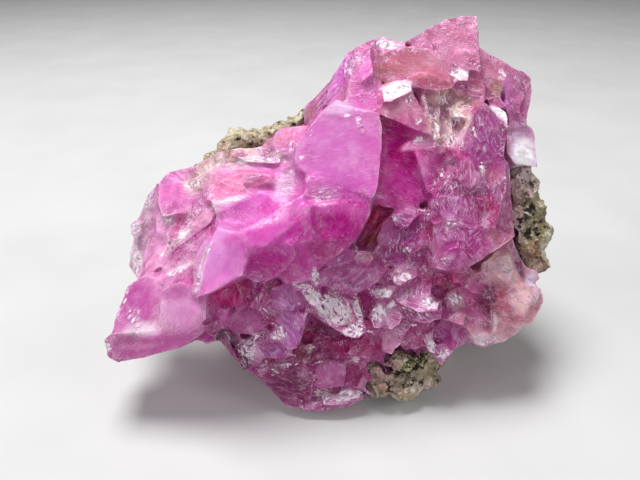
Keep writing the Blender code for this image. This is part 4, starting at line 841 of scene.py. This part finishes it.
# Broken relief: the room of a broken face, its slope, and the height from face to face.
CHUNKS = (1.1, 0.42, 0.2)
CRUMBS = (0.5, 0.4, 0.12)
ROCK_LUMPS = (1.3, 0.35, 0.3)
ROCK_GRAINS = (0.55, 0.5, 0.2)
# Smooth noise in the relief: its rate, in waves a millimetre, and a shift that sets it apart.
SWELL = (0.45, 0.0)
RIPPLE = (1.7, 9.0)
NIBBLES = (1.1, 31.0)
HOLES = (1.5, 17.0)
NIBBLE_RISE = 2.2
HOLE_RISE = 3
HOLE_START = 0.9
# Rubble of the rock: its rate, and the drop, the gaps and the number of its octaves.
RUBBLE_RATE = 0.9
RUBBLE = (0.7, 2.1, 4)
# The most that the calcite and the rock sink.
DEEPEST = 0.62
ROCK_DEEPEST = 0.7
# Height over the resting plane within which the relief fades out.
REST_ROOM = 0.6
# How much of a crease is filled in a round, and the most in one step.
FILL_SHARE = 0.6
FILL_STEP = 0.12
FILL_ROUNDS = 3
ROCK_FILL_ROUNDS = 1
# How far a wholly soft point moves to the mean of its neighbours in a round.
SOFT_SHARE = 0.5
SOFT_ROUNDS = 30
ROCK_SOFT_ROUNDS = 4
# The bend at which an edge or a crease is at its full strength, and how much of it is its own.
EDGE_BEND = 0.045
OWN_BEND = 0.6
# The angle in degrees over which an edge is drawn sharp.
CREASE = 24


def smooth_step(x):
    x = np.clip(x, 0, 1)
    return x * x * (3 - 2 * x)


def off_rest(points):
    """0 at the resting plane, easing to 1 above it."""
    return smooth_step(points[:, 2] / REST_ROOM)


def noise_at(points, rate, shift):
    return np.array([noise.noise(Vector(p) * rate + Vector((shift,) * 3)) for p in points])


def cells_of(points, room, rng):
    """Scattered seeds on the surface about that far apart, and the nearest one to each point."""
    order = list(range(len(points)))
    rng.shuffle(order)
    first = {}
    for i in order:
        first.setdefault(tuple(math.floor(c / room) for c in points[i]), i)
    seeds = points[list(first.values())]
    tree = kdtree.KDTree(len(seeds))
    for number, seed in enumerate(seeds):
        tree.insert(seed, number)
    tree.balance()
    return seeds, np.array([tree.find(p)[1] for p in points])


def draws(draw, count):
    return np.array([draw() for number in range(count)])


def broken(points, normals, sizes, rng):
    """How far each point sinks as the surface breaks into tilted faces, and which face it is in."""
    room, slope, step = sizes
    seeds, nearest = cells_of(points, room, rng)
    lean = unit(draws(rng.gauss, 3 * len(seeds)).reshape(-1, 3))[nearest]
    drop = draws(rng.random, len(seeds))
    across = lean - normals * (lean * normals).sum(axis=1, keepdims=True)
    return drop[nearest] * step + ((points - seeds[nearest]) * across).sum(axis=1) * slope, nearest


def neighbour_means(values, triangles):
    """The mean of the values at the ends of each point's edges."""
    count = np.zeros(len(values))
    total = np.zeros(values.shape)
    for a, b in ((0, 1), (1, 2), (2, 0), (1, 0), (2, 1), (0, 2)):
        here, there = triangles[:, (a, b)].T
        count += np.bincount(here, minlength=len(values))
        for axis in range(values.shape[1]):
            total[:, axis] += np.bincount(here, values[there, axis], len(values))
    return total / np.maximum(count, 1)[:, None]


def bend(points, normals, triangles):
    """How far the middle of its neighbours stands above each point: over 0 in a crease."""
    return ((neighbour_means(points, triangles) - points) * normals).sum(axis=1)


def sunk(skin, normals, depth, most):
    """The skin's points, sunk by no more than the most, and not at all at the resting plane."""
    depth = np.clip(depth, 0, most) * off_rest(skin.points)
    return skin.points - normals * depth[:, None]


def filled(points, normals, skin, rounds):
    """The creases filled a little, above the resting plane."""
    share = FILL_SHARE * off_rest(skin.points)
    for turn in range(rounds):
        fill = np.clip(bend(points, normals, skin.triangles), 0, FILL_STEP)
        points = points + normals * (fill * share)[:, None]
    return points


def softened(points, triangles, soft, rounds):
    """Points drawn towards the mean of their neighbours, as far as each one is soft."""
    share = (SOFT_SHARE * soft)[:, None]
    for turn in range(rounds):
        points = points + (neighbour_means(points, triangles) - points) * share
    return points


# ---------------------------------------------------------------- the grain of the crystals

# Lines in a millimetre where no row says otherwise, and how deep and how far in a row's patch
# its lines reach.
PLAIN_PACE = 1.2
LINES_DEPTH = 2.5
LINES_RIM = 0.3
# Roughness over which each broken face turns its own way and is shifted by up to so much, and
# the share of its turn that is left among lines.
LOOSE = 0.34
GRAIN_SHIFT = 40
LINES_SWING = 0.25


def unit(vectors):
    return vectors / np.maximum(np.linalg.norm(vectors, axis=1, keepdims=True), 1e-9)


def turned(along, across, angle):
    return np.cos(angle)[:, None] * along + np.sin(angle)[:, None] * across


def laid(skin, places, cell, rough, tree, rng):
    """Each triangle's own coordinates along and across its grain, and the lines in it."""
    t = skin.triangles
    normals = skin.facet_normals[skin.facets]
    start = unit(np.cross(AXES[1], normals))
    facet_turn = math.pi * draws(rng.random, len(skin.facet_normals))
    cell_turn = draws(rng.gauss, cell.max() + 1)
    shift = GRAIN_SHIFT * draws(rng.random, cell.max() + 1)
    own_cell = cell[t[:, 0]]
    loose = rough[t].mean(axis=1) > LOOSE
    swing = cell_turn[own_cell] * loose
    along = turned(start, np.cross(normals, start), facet_turn[skin.facets] + swing)
    pace = np.full(len(t), PLAIN_PACE)
    strength = np.zeros(len(t))
    for row in LINES:
        way, rate, force = row[6:]
        part = falloff(places[t].mean(axis=1), row, tree, LINES_DEPTH)
        here = part > LINES_RIM
        a = math.radians(way)
        level = np.array((-math.sin(a), math.cos(a), 0.0)) @ AXES
        level = unit(level - normals * (normals @ level)[:, None])
        along[here] = turned(level, np.cross(normals, level), swing * LINES_SWING)[here]
        pace[here] = rate
        strength = np.where(here, part * force, strength)
    axes = np.stack([along, np.cross(normals, along), normals], axis=1)
    coords = skin.points[t] @ axes.transpose(0, 2, 1)
    return coords + (shift[own_cell] * loose)[:, None, None], pace, strength


# ---------------------------------------------------------------- pieces

def mesh_piece(name, skin, moved, material, slot):
    mesh = bpy.data.meshes.new(name)
    mesh.from_pydata((moved * MM).tolist(), [], skin.triangles.tolist())
    mesh.shade_smooth()
    mesh.set_sharp_from_angle(angle=math.radians(CREASE))
    obj = bpy.data.objects.new(name, mesh)
    bpy.context.scene.collection.objects.link(obj)
    mesh.materials.append(material)
    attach(obj, "root")
    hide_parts(slot)
    return obj


def store(obj, name, values, domain="POINT"):
    """A number or a vector for each point or corner of a piece, for its material."""
    kind, field = ("FLOAT_VECTOR", "vector") if values.ndim > 1 else ("FLOAT", "value")
    layer = obj.data.attributes.new(name, kind, domain)
    layer.data.foreach_set(field, values.astype(np.float32).ravel())


def store_tint(obj, colours):
    """A colour for each corner of each triangle."""
    layer = obj.data.color_attributes.new("tint", "FLOAT_COLOR", "CORNER")
    flat = np.insert(colours.reshape(-1, 3), 3, 1.0, axis=1)
    layer.data.foreach_set("color", flat.ravel())


def towards(values, other, share):
    """Values of each corner moved to another one, by a share for each triangle."""
    share = share[:, None, None]
    return values * (1 - share) + other * share


# A facet's share of its own colour, where the tints don't run on over its edges.
OWN_SHARE = 0.5
# How much a broken place shows chips of one colour, and from which roughness on.
CHIP_SHARE = 0.45
CHIP_RISE = 2.2
CHIP_START = 0.3
# How far facets and broken faces differ in brightness, and from where on they turn pale or deep.
FACET_SWING = 0.09
CELL_SWING = 0.12
ODD_CELL = 0.3
PALE_SHARE = 0.45
DEEP_SHARE = 0.6
PALE_CELL = (226, 196, 222)
DEEP_CELL = (132, 12, 84)


def calcite_tint(skin, places, rough, soft, cell, crumb, tree, rng):
    """The colour of each corner of each triangle."""
    t = skin.triangles
    tint = tinted(places, TINTS, BROAD_TINTS, tree)
    facet_tint = tinted(to_plane(skin.facet_middles), TINTS, BROAD_TINTS, tree)
    shade = draws(rng.gauss, len(skin.facet_normals))
    cell_shade = draws(rng.gauss, cell.max() + 1)

    # A facet keeps half its own colour, unless the tints run on over its edges.
    blended = np.maximum(soft, amount(places, BLENDED, tree))[t].mean(axis=1)
    corners = towards(tint[t], facet_tint[skin.facets][:, None], OWN_SHARE * (1 - blended))

    # Chips of one colour, where the stone is broken.
    sums = [np.bincount(crumb, tint[:, k]) for k in range(3)]
    crumb_tint = np.stack(sums, axis=1) / np.bincount(crumb)[:, None]
    loose = rough[t].mean(axis=1)
    chipped = CHIP_SHARE * np.clip(CHIP_RISE * loose - CHIP_START, 0, 1)
    corners = towards(corners, crumb_tint[crumb[t[:, 0]]][:, None], chipped)

    # Facets and broken faces of their own brightness, the farthest off paler or deeper.
    swing = cell_shade[cell[t[:, 0]]] * loose
    corners *= np.exp(FACET_SWING * shade[skin.facets] + CELL_SWING * swing)[:, None, None]
    for side, share, colour in ((1, PALE_SHARE, PALE_CELL), (-1, DEEP_SHARE, DEEP_CELL)):
        odd = np.clip(side * swing - ODD_CELL, 0, 1) * share
        corners = towards(corners, linear(colour), odd)
    return np.clip(corners, 0, 1)


def make_calcite(tree):
    rng = random.Random(CALCITE_SEED)
    skin = skin_of(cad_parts["calcite"], CALCITE_GRAIN, rng)
    normals = skin.normals()
    places = to_plane(skin.points)

    rough = breakage(places, tree)
    coarse, cell = broken(skin.points, normals, CHUNKS, rng)
    fine, crumb = broken(skin.points, normals, CRUMBS, rng)
    nibbles = np.clip(NIBBLE_RISE * noise_at(skin.points, *NIBBLES), 0, 1) * skin.rim
    depth = (0.08 + 0.10 * noise_at(skin.points, *SWELL) + 0.03 * noise_at(skin.points, *RIPPLE)
             + rough * (0.9 * coarse + 0.15) + rough ** 1.5 * fine + 0.16 * nibbles)
    soft = amount(places, SOFT, tree) * off_rest(skin.points)
    moved = sunk(skin, normals, depth, DEEPEST)
    moved = softened(moved, skin.triangles, soft, SOFT_ROUNDS)
    moved = filled(moved, normals, skin, FILL_ROUNDS)
    bends = bend(moved, normals, skin.triangles)[:, None]
    around = neighbour_means(bends, skin.triangles)
    bends = (OWN_BEND * bends + (1 - OWN_BEND) * around)[:, 0] / EDGE_BEND

    colours = calcite_tint(skin, places, rough, soft, cell, crumb, tree, rng)
    crumb_shade = draws(rng.random, crumb.max() + 1)[crumb]
    coords, pace, strength = laid(skin, places, cell, rough, tree, rng)
    obj = mesh_piece("calcite_crystals", skin, moved, calcite_material(), "calcite")
    store(obj, "lay", coords, "CORNER")
    store(obj, "pace", np.repeat(pace, 3), "CORNER")
    store(obj, "lines", np.repeat(strength, 3), "CORNER")
    store_tint(obj, colours)
    store(obj, "edge", np.clip(-bends, 0, 1))
    store(obj, "crease", np.clip(bends, 0, 1))
    store(obj, "frost", amount(places, FROST_AND_GLINTS, tree))
    store(obj, "stain", amount(places, STAIN, tree))
    store(obj, "crumb", crumb_shade)
    store(obj, "rough", rough)


def make_rock(tree):
    rng = random.Random(ROCK_SEED)
    skin = skin_of(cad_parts["host_rock"], ROCK_GRAIN, rng)
    normals = skin.normals()
    places = to_plane(skin.points)
    lump, cell = broken(skin.points, normals, ROCK_LUMPS, rng)
    grain, crumb = broken(skin.points, normals, ROCK_GRAINS, rng)
    rubble = np.array([noise.fractal(Vector(p) * RUBBLE_RATE, *RUBBLE) for p in skin.points])
    holes = np.clip(HOLE_RISE * noise_at(skin.points, *HOLES) - HOLE_START, 0, 1)
    depth = 0.088 + 0.55 * lump + 0.7 * grain + 0.16 * rubble + 0.35 * holes
    moved = filled(sunk(skin, normals, depth, ROCK_DEEPEST), normals, skin, ROCK_FILL_ROUNDS)
    soft = amount(places, ROCK_SOFT, tree) * off_rest(skin.points)
    moved = softened(moved, skin.triangles, soft, ROCK_SOFT_ROUNDS)
    obj = mesh_piece("host_rock_crust", skin, moved, rock_material(), "host_rock")
    store_tint(obj, tinted(places, ROCK_TINTS, ROCK_BROAD_TINTS, tree)[skin.triangles])
    store(obj, "pore", amount(places, PORES, tree))
    store(obj, "patch", draws(rng.random, cell.max() + 1)[cell])
    store(obj, "crumb", draws(rng.random, crumb.max() + 1)[crumb])
    store(obj, "hole", holes)


# ---------------------------------------------------------------- materials

class Field:
    """A value over the surface, from a node of a material, which adds up and multiplies."""

    def __init__(self, material, socket):
        self.material = material
        self.socket = socket

    def output(self, name):
        """Another output of the same node."""
        return Field(self.material, self.socket.node.outputs[name])

    def parts(self):
        """The three parts of a colour."""
        first = self.material.add("SeparateColor", {0: self})
        return [first.output(number) for number in range(3)]

    def ramp(self, low, high, out_low=0.0, out_high=1.0):
        ends = {"From Min": low, "From Max": high, "To Min": out_low, "To Max": out_high}
        return self.material.add("MapRange", {"Value": self, **ends})

    def __add__(self, other):
        return self.material.math("ADD", self, other)

    def __sub__(self, other):
        return self.material.math("SUBTRACT", self, other)

    def __mul__(self, other):
        return self.material.math("MULTIPLY", self, other)


class Material:
    """A material that is built up in coats of colour and of relief."""

    def __init__(self, name):
        self.data = bpy.data.materials.new(name)
        self.data.use_nodes = True
        self.tree = self.data.node_tree
        self.colour = None
        self.normal = None
        self.place = self.add("TexCoord").output("Object")

    def put(self, sockets, inputs):
        """Links fields to sockets, and sets constants on them."""
        for key, value in inputs.items():
            if isinstance(value, Field):
                self.tree.links.new(value.socket, sockets[key])
            elif value is not None:
                sockets[key].default_value = value

    def add(self, kind, inputs=None, **settings):
        """The first output of a new node."""
        node = self.tree.nodes.new("ShaderNode" + kind)
        for key, value in settings.items():
            setattr(node, key, value)
        self.put(node.inputs, inputs or {})
        return Field(self, node.outputs[0])

    def attribute(self, name, output="Fac"):
        return self.add("Attribute", attribute_name=name).output(output)

    def math(self, operation, *values):
        return self.add("Math", dict(enumerate(values)), operation=operation)

    def vector(self, operation, *values, **inputs):
        return self.add("VectorMath", {**dict(enumerate(values)), **inputs}, operation=operation)

    def noise(self, scale, detail=3.0, roughness=0.6, vector=None):
        sizes = {"Scale": scale, "Detail": detail, "Roughness": roughness}
        return self.add("TexNoise", {"Vector": vector or self.place, **sizes})

    def voronoi(self, scale, vector):
        return self.add("TexVoronoi", {"Vector": vector, "Scale": scale})

    def stretched(self, lay, along, across):
        """Coordinates along and across the grain, at that many cells in a millimetre."""
        return self.vector("MULTIPLY", lay, (along, across, across))

    def coat(self, part, colour):
        """Another colour over the base colour, as far as the part says."""
        inputs = {"Factor": part, 6: self.colour, 7: (*colour, 1)}
        self.colour = self.add("Mix", inputs, data_type="RGBA").output(2)

    def relief(self, height, distance, strength):
        inputs = {"Strength": strength, "Distance": distance, "Height": height, "Normal": self.normal}
        self.normal = self.add("Bump", inputs)

    def finished(self, inputs):
        """The material, with its colour and its relief on its surface."""
        surface = self.tree.nodes["Principled BSDF"]
        self.put(surface.inputs, {"Base Color": self.colour, "Normal": self.normal, **inputs})
        return self.data


# Colours of the calcite as light, deep ones first.
# Painted shade on the shaded side of small steps.
STEP_SHADE = (0.22, 0.01, 0.12)
# Painted shade in the creases.
CREASE_SHADE = (0.27, 0.006, 0.12)
GARNET = (0.25, 0.005, 0.12)
DEEP_STREAK = (0.28, 0.008, 0.13)
DEEP_VEIL = (0.34, 0.006, 0.19)
MAGENTA = (0.42, 0.012, 0.24)
LILAC = (0.72, 0.36, 0.62)
PALE_GRIT = (0.78, 0.46, 0.72)
PALE_STREAK = (0.80, 0.58, 0.76)
PALE_VEIL = (0.82, 0.54, 0.76)
PALE_LINE = (0.88, 0.72, 0.85)
# Pale edges and the lit side of small steps: partly bruising, partly painted highlight.
BRUISE_AND_HIGHLIGHT = (0.90, 0.74, 0.87)
# White of frost, partly painted glints.
FROST_AND_GLINT_WHITE = (0.93, 0.86, 0.92)
RUST = (0.27, 0.10, 0.035)


def calcite_material():
    m = Material("cobaltoan_calcite")
    tint = m.attribute("tint", "Color")
    lay = m.attribute("lay", "Vector")
    frost, stain, rough, edge, crease, pace, lines = map(
        m.attribute, ("frost", "stain", "rough", "edge", "crease", "pace", "lines"))
    m.colour = tint

    # Clouding inside the crystals, least where they are darkest.
    glow = m.add("RGBToBW", {0: tint}).ramp(0.02, 0.15, 0.1, 1.0)
    m.coat(m.noise(300, 4.0).ramp(0.5, 0.8) * (rough * 0.2 + 0.08) * glow, LILAC)
    m.coat(m.noise(360, 3.0, 0.55).ramp(0.5, 0.75, 0.0, 0.25), MAGENTA)
    veil = m.noise(620, 6.0, 0.7)
    m.coat(veil.ramp(0.52, 0.75, 0.0, 0.34) * glow, PALE_VEIL)
    m.coat(veil.ramp(0.46, 0.3, 0.0, 0.35), DEEP_VEIL)

    # Streaks along the grain of each crystal, pale ones and deep ones.
    streak = m.noise(1.0, vector=m.stretched(lay, 0.7, 3.6))
    fine_streak = m.noise(1.0, vector=m.stretched(lay, 1.6, 8.0))
    streaky = (rough * rough + lines * 0.4 + 0.02) * glow
    m.coat(streak.ramp(0.56, 0.66) * streaky * 0.6, PALE_STREAK)
    m.coat(streak.ramp(0.44, 0.34) * streaky * 0.75, DEEP_STREAK)

    # Parallel lines where the crystals end in rows of steps.
    waver = m.noise(1.0, 2.0, 0.5, m.stretched(lay, 0.8, 0.8)) * 1.6
    saw = m.math("FRACT", m.add("SeparateXYZ", {0: lay}).output("Y") * pace + waver)
    ridge = saw.ramp(0.62, 0.95) * fine_streak.ramp(0.38, 0.55) * lines
    m.coat(ridge * 0.75, PALE_LINE)

    # Grit in the broken places: small splinters, some dark, some pale, and a few white ones that are
    # painted glints.
    ragged = m.vector("ADD", m.stretched(lay, 1.7, 5.2), m.noise(1500).output("Color"))
    dark, pale, white = m.voronoi(1.0, ragged).output("Color").parts()
    patchy = m.noise(800).ramp(0.42, 0.6, 0.15, 1.0)
    grit = rough.ramp(0.22, 0.75) * patchy * glow
    m.coat(grit * dark.ramp(0.7, 0.78, 0.0, 0.5), GARNET)
    m.coat(grit * pale.ramp(0.74, 0.82, 0.0, 0.4), PALE_GRIT)
    m.coat(rough.ramp(0.5, 0.85) * patchy * white.ramp(0.84, 0.9, 0.0, 0.9), FROST_AND_GLINT_WHITE)

    # Painted shade down in the creases, and pale edges, partly bruising and partly painted highlight.
    m.coat(crease * 0.72, CREASE_SHADE)
    m.coat(edge * m.noise(1700, 3.0, 0.7).ramp(0.4, 0.56, 0.05, 0.8) * glow, BRUISE_AND_HIGHLIGHT)

    # White frost in angular grains, partly painted glints of its tiny broken faces.
    grains = m.voronoi(1.0, m.stretched(lay, 2.4, 6.0)).output("Color")
    bare = grains.parts()[0] * 0.55 + fine_streak * 0.7 - frost * 0.75
    m.coat(bare.ramp(0.16, -0.02) * frost.ramp(0.05, 0.3) * 0.92, FROST_AND_GLINT_WHITE)

    # Wavering steps, each a line of painted shade with a painted highlight beside it.
    stepped = m.math("MAXIMUM", rough, frost * 0.8).ramp(0.1, 0.5) * patchy
    rises = []
    for along, across, width, force in ((0.22, 0.75, 0.03, 1.0), (0.5, 1.9, 0.035, 0.6)):
        step = m.noise(1.0, 4.0, vector=m.stretched(lay, along, across)) - 0.5
        below = step.ramp(-0.8 * width, -0.2 * width) * step.ramp(0.15 * width, 0.0)
        above = step.ramp(0.0, 0.2 * width) * step.ramp(width, 0.35 * width)
        m.coat(below * stepped * (0.8 * force), STEP_SHADE)
        m.coat(above * stepped * (0.75 * force), BRUISE_AND_HIGHLIGHT)
        rises.append(step.ramp(-0.2 * width, 0.2 * width) * stepped)

    m.coat(stain * m.noise(900, 4.0, 0.65).ramp(0.4, 0.58) * 0.85, RUST)

    # Tiny broken faces that catch the light one by one, most of all in the frost.
    tilt = m.vector("SUBTRACT", grains, (0.5, 0.5, 0.5))
    tilt = m.vector("SCALE", tilt, Scale=frost * 0.8 + rough * 0.4)
    flat = m.add("NewGeometry").output("Normal")
    m.normal = m.vector("NORMALIZE", m.vector("ADD", flat, tilt))
    m.relief(streak * streaky, 0.00016, 0.8)
    m.relief(saw * lines, 0.0001, 0.7)
    m.relief(fine_streak, 0.00003, 0.6)
    m.relief(rises[0] + rises[1], 0.00007, 0.8)

    return m.finished({
        "Roughness": rough * 0.08 + fine_streak.ramp(0.3, 0.7, 0.16, 0.34),
        "IOR": 1.6,
        "Specular IOR Level": 0.28,
        "Specular Tint": (1.0, 0.5, 0.9, 1),
        "Subsurface Weight": 0.4,
        "Subsurface Radius": (1.0, 0.25, 0.7),
        "Subsurface Scale": 0.0005,
    })


# Colours of the rock as light.
BROWN = (0.17, 0.12, 0.07)
TAN = (0.30, 0.20, 0.13)
SAND = (0.74, 0.68, 0.58)
DARK_GRAIN = (0.16, 0.12, 0.08)
WHITE_GRAIN = (0.84, 0.79, 0.66)
PORE_BLACK = (0.010, 0.008, 0.006)
PIT_BLACK = (0.02, 0.015, 0.01)


def rock_material():
    m = Material("rusty_host_rock")
    m.colour = m.attribute("tint", "Color")
    patch, crumb, hole, pore = map(m.attribute, ("patch", "crumb", "hole", "pore"))
    m.coat(m.noise(260, 4.0).ramp(0.5, 0.7, 0.0, 0.6), BROWN)
    m.coat(patch.ramp(0.6, 1.0, 0.0, 0.35), TAN)
    m.coat(crumb.ramp(0.6, 1.0, 0.0, 0.6), SAND)

    # Grains of different shades, a few of them nearly white.
    warp = m.vector("SCALE", m.noise(2200).output("Color"), Scale=0.0003)
    grains = m.voronoi(3800, m.vector("ADD", m.place, warp))
    dark, white = grains.output("Color").parts()[:2]
    m.coat(dark.ramp(0.55, 0.95, 0.0, 0.3), DARK_GRAIN)
    m.coat(white.ramp(0.75, 0.9, 0.0, 0.45), WHITE_GRAIN)

    # Pores and cracks, nearly black.
    specks = m.noise(1100, 6.0, 0.72)
    m.coat((specks - pore * 0.12).ramp(0.42, 0.36, 0.0, 0.95), PORE_BLACK)
    m.coat(hole * pore, PIT_BLACK)
    m.relief(grains, 0.0001, 0.8)
    m.relief(specks, 0.0003, 0.9)
    return m.finished({"Roughness": 0.8, "Specular IOR Level": 0.3})


FLOOR_GREY = (0.56, 0.56, 0.56, 1)
FLOOR_PALE = (0.60, 0.60, 0.60)


def floor_material():
    m = Material("pale_studio_floor")
    m.colour = FLOOR_GREY
    m.coat(m.noise(60, 2.0, 0.55).ramp(0.3, 0.7), FLOOR_PALE)
    return m.finished({"Roughness": 0.9})


# ---------------------------------------------------------------- floor, lights and camera

# All in metres, but for the camera's lens and sensor.

FLOOR_SIZE = 1.2
FLOOR_DROP = 0.00002
LIGHTS_AIM = (0, 0, 0.012)
# Lights: name, place, width, power.
LIGHTS = (
    ("key", (-0.05, 0.05, 0.30), 0.14, 1.1),
    ("left_fill", (-0.30, -0.10, 0.18), 0.2, 0.3),
    ("right_fill", (0.30, -0.12, 0.20), 0.2, 0.2),
    ("front_fill", (0.02, -0.30, 0.20), 0.2, 0.31),
)
STUDIO_COLOUR = (0.9, 0.9, 0.92, 1)
STUDIO_STRENGTH = 0.13
SENSOR_WIDTH = 36
LENS = 32.46


def placed(name, data, place=(0, 0, 0), turn=(0, 0, 0)):
    obj = bpy.data.objects.new(name, data)
    obj.location = place
    obj.rotation_euler = turn
    bpy.context.scene.collection.objects.link(obj)
    return obj


def make_floor():
    mesh = bpy.data.meshes.new("floor")
    bm = bmesh.new()
    bmesh.ops.create_grid(bm, x_segments=8, y_segments=8, size=FLOOR_SIZE)
    bm.to_mesh(mesh)
    bm.free()
    mesh.materials.append(floor_material())
    placed("floor", mesh, (0, 0, -FLOOR_DROP))


def make_lights():
    for name, place, width, power in LIGHTS:
        data = bpy.data.lights.new(name, "AREA")
        data.shape = "DISK"
        data.size = width
        data.energy = power
        aim = Vector(LIGHTS_AIM) - Vector(place)
        placed(name, data, place, aim.to_track_quat("-Z", "Y").to_euler())
    world = bpy.data.worlds.new("studio")
    world.use_nodes = True
    background = world.node_tree.nodes["Background"]
    background.inputs["Color"].default_value = STUDIO_COLOUR
    background.inputs["Strength"].default_value = STUDIO_STRENGTH
    bpy.context.scene.world = world


def make_camera():
    data = bpy.data.cameras.new("camera")
    data.sensor_width = SENSOR_WIDTH
    data.lens = LENS
    data.clip_start = MM
    turn = (math.pi / 2 - PLANE_LEAN, 0, 0)
    bpy.context.scene.camera = placed("camera", data, Vector(EYE) * MM, turn)


def surface_tree(node):
    """A node's CAD surface, for sight lines."""
    mesh = node.data
    mesh.calc_loop_triangles()
    points = [v.co / MM for v in mesh.vertices]
    return BVHTree.FromPolygons(points, [tuple(t.vertices) for t in mesh.loop_triangles])


make_camera()
make_lights()
make_floor()
make_calcite(surface_tree(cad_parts["calcite"]))
make_rock(surface_tree(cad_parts["host_rock"]))
bpy.context.scene.view_settings.view_transform = "Standard"
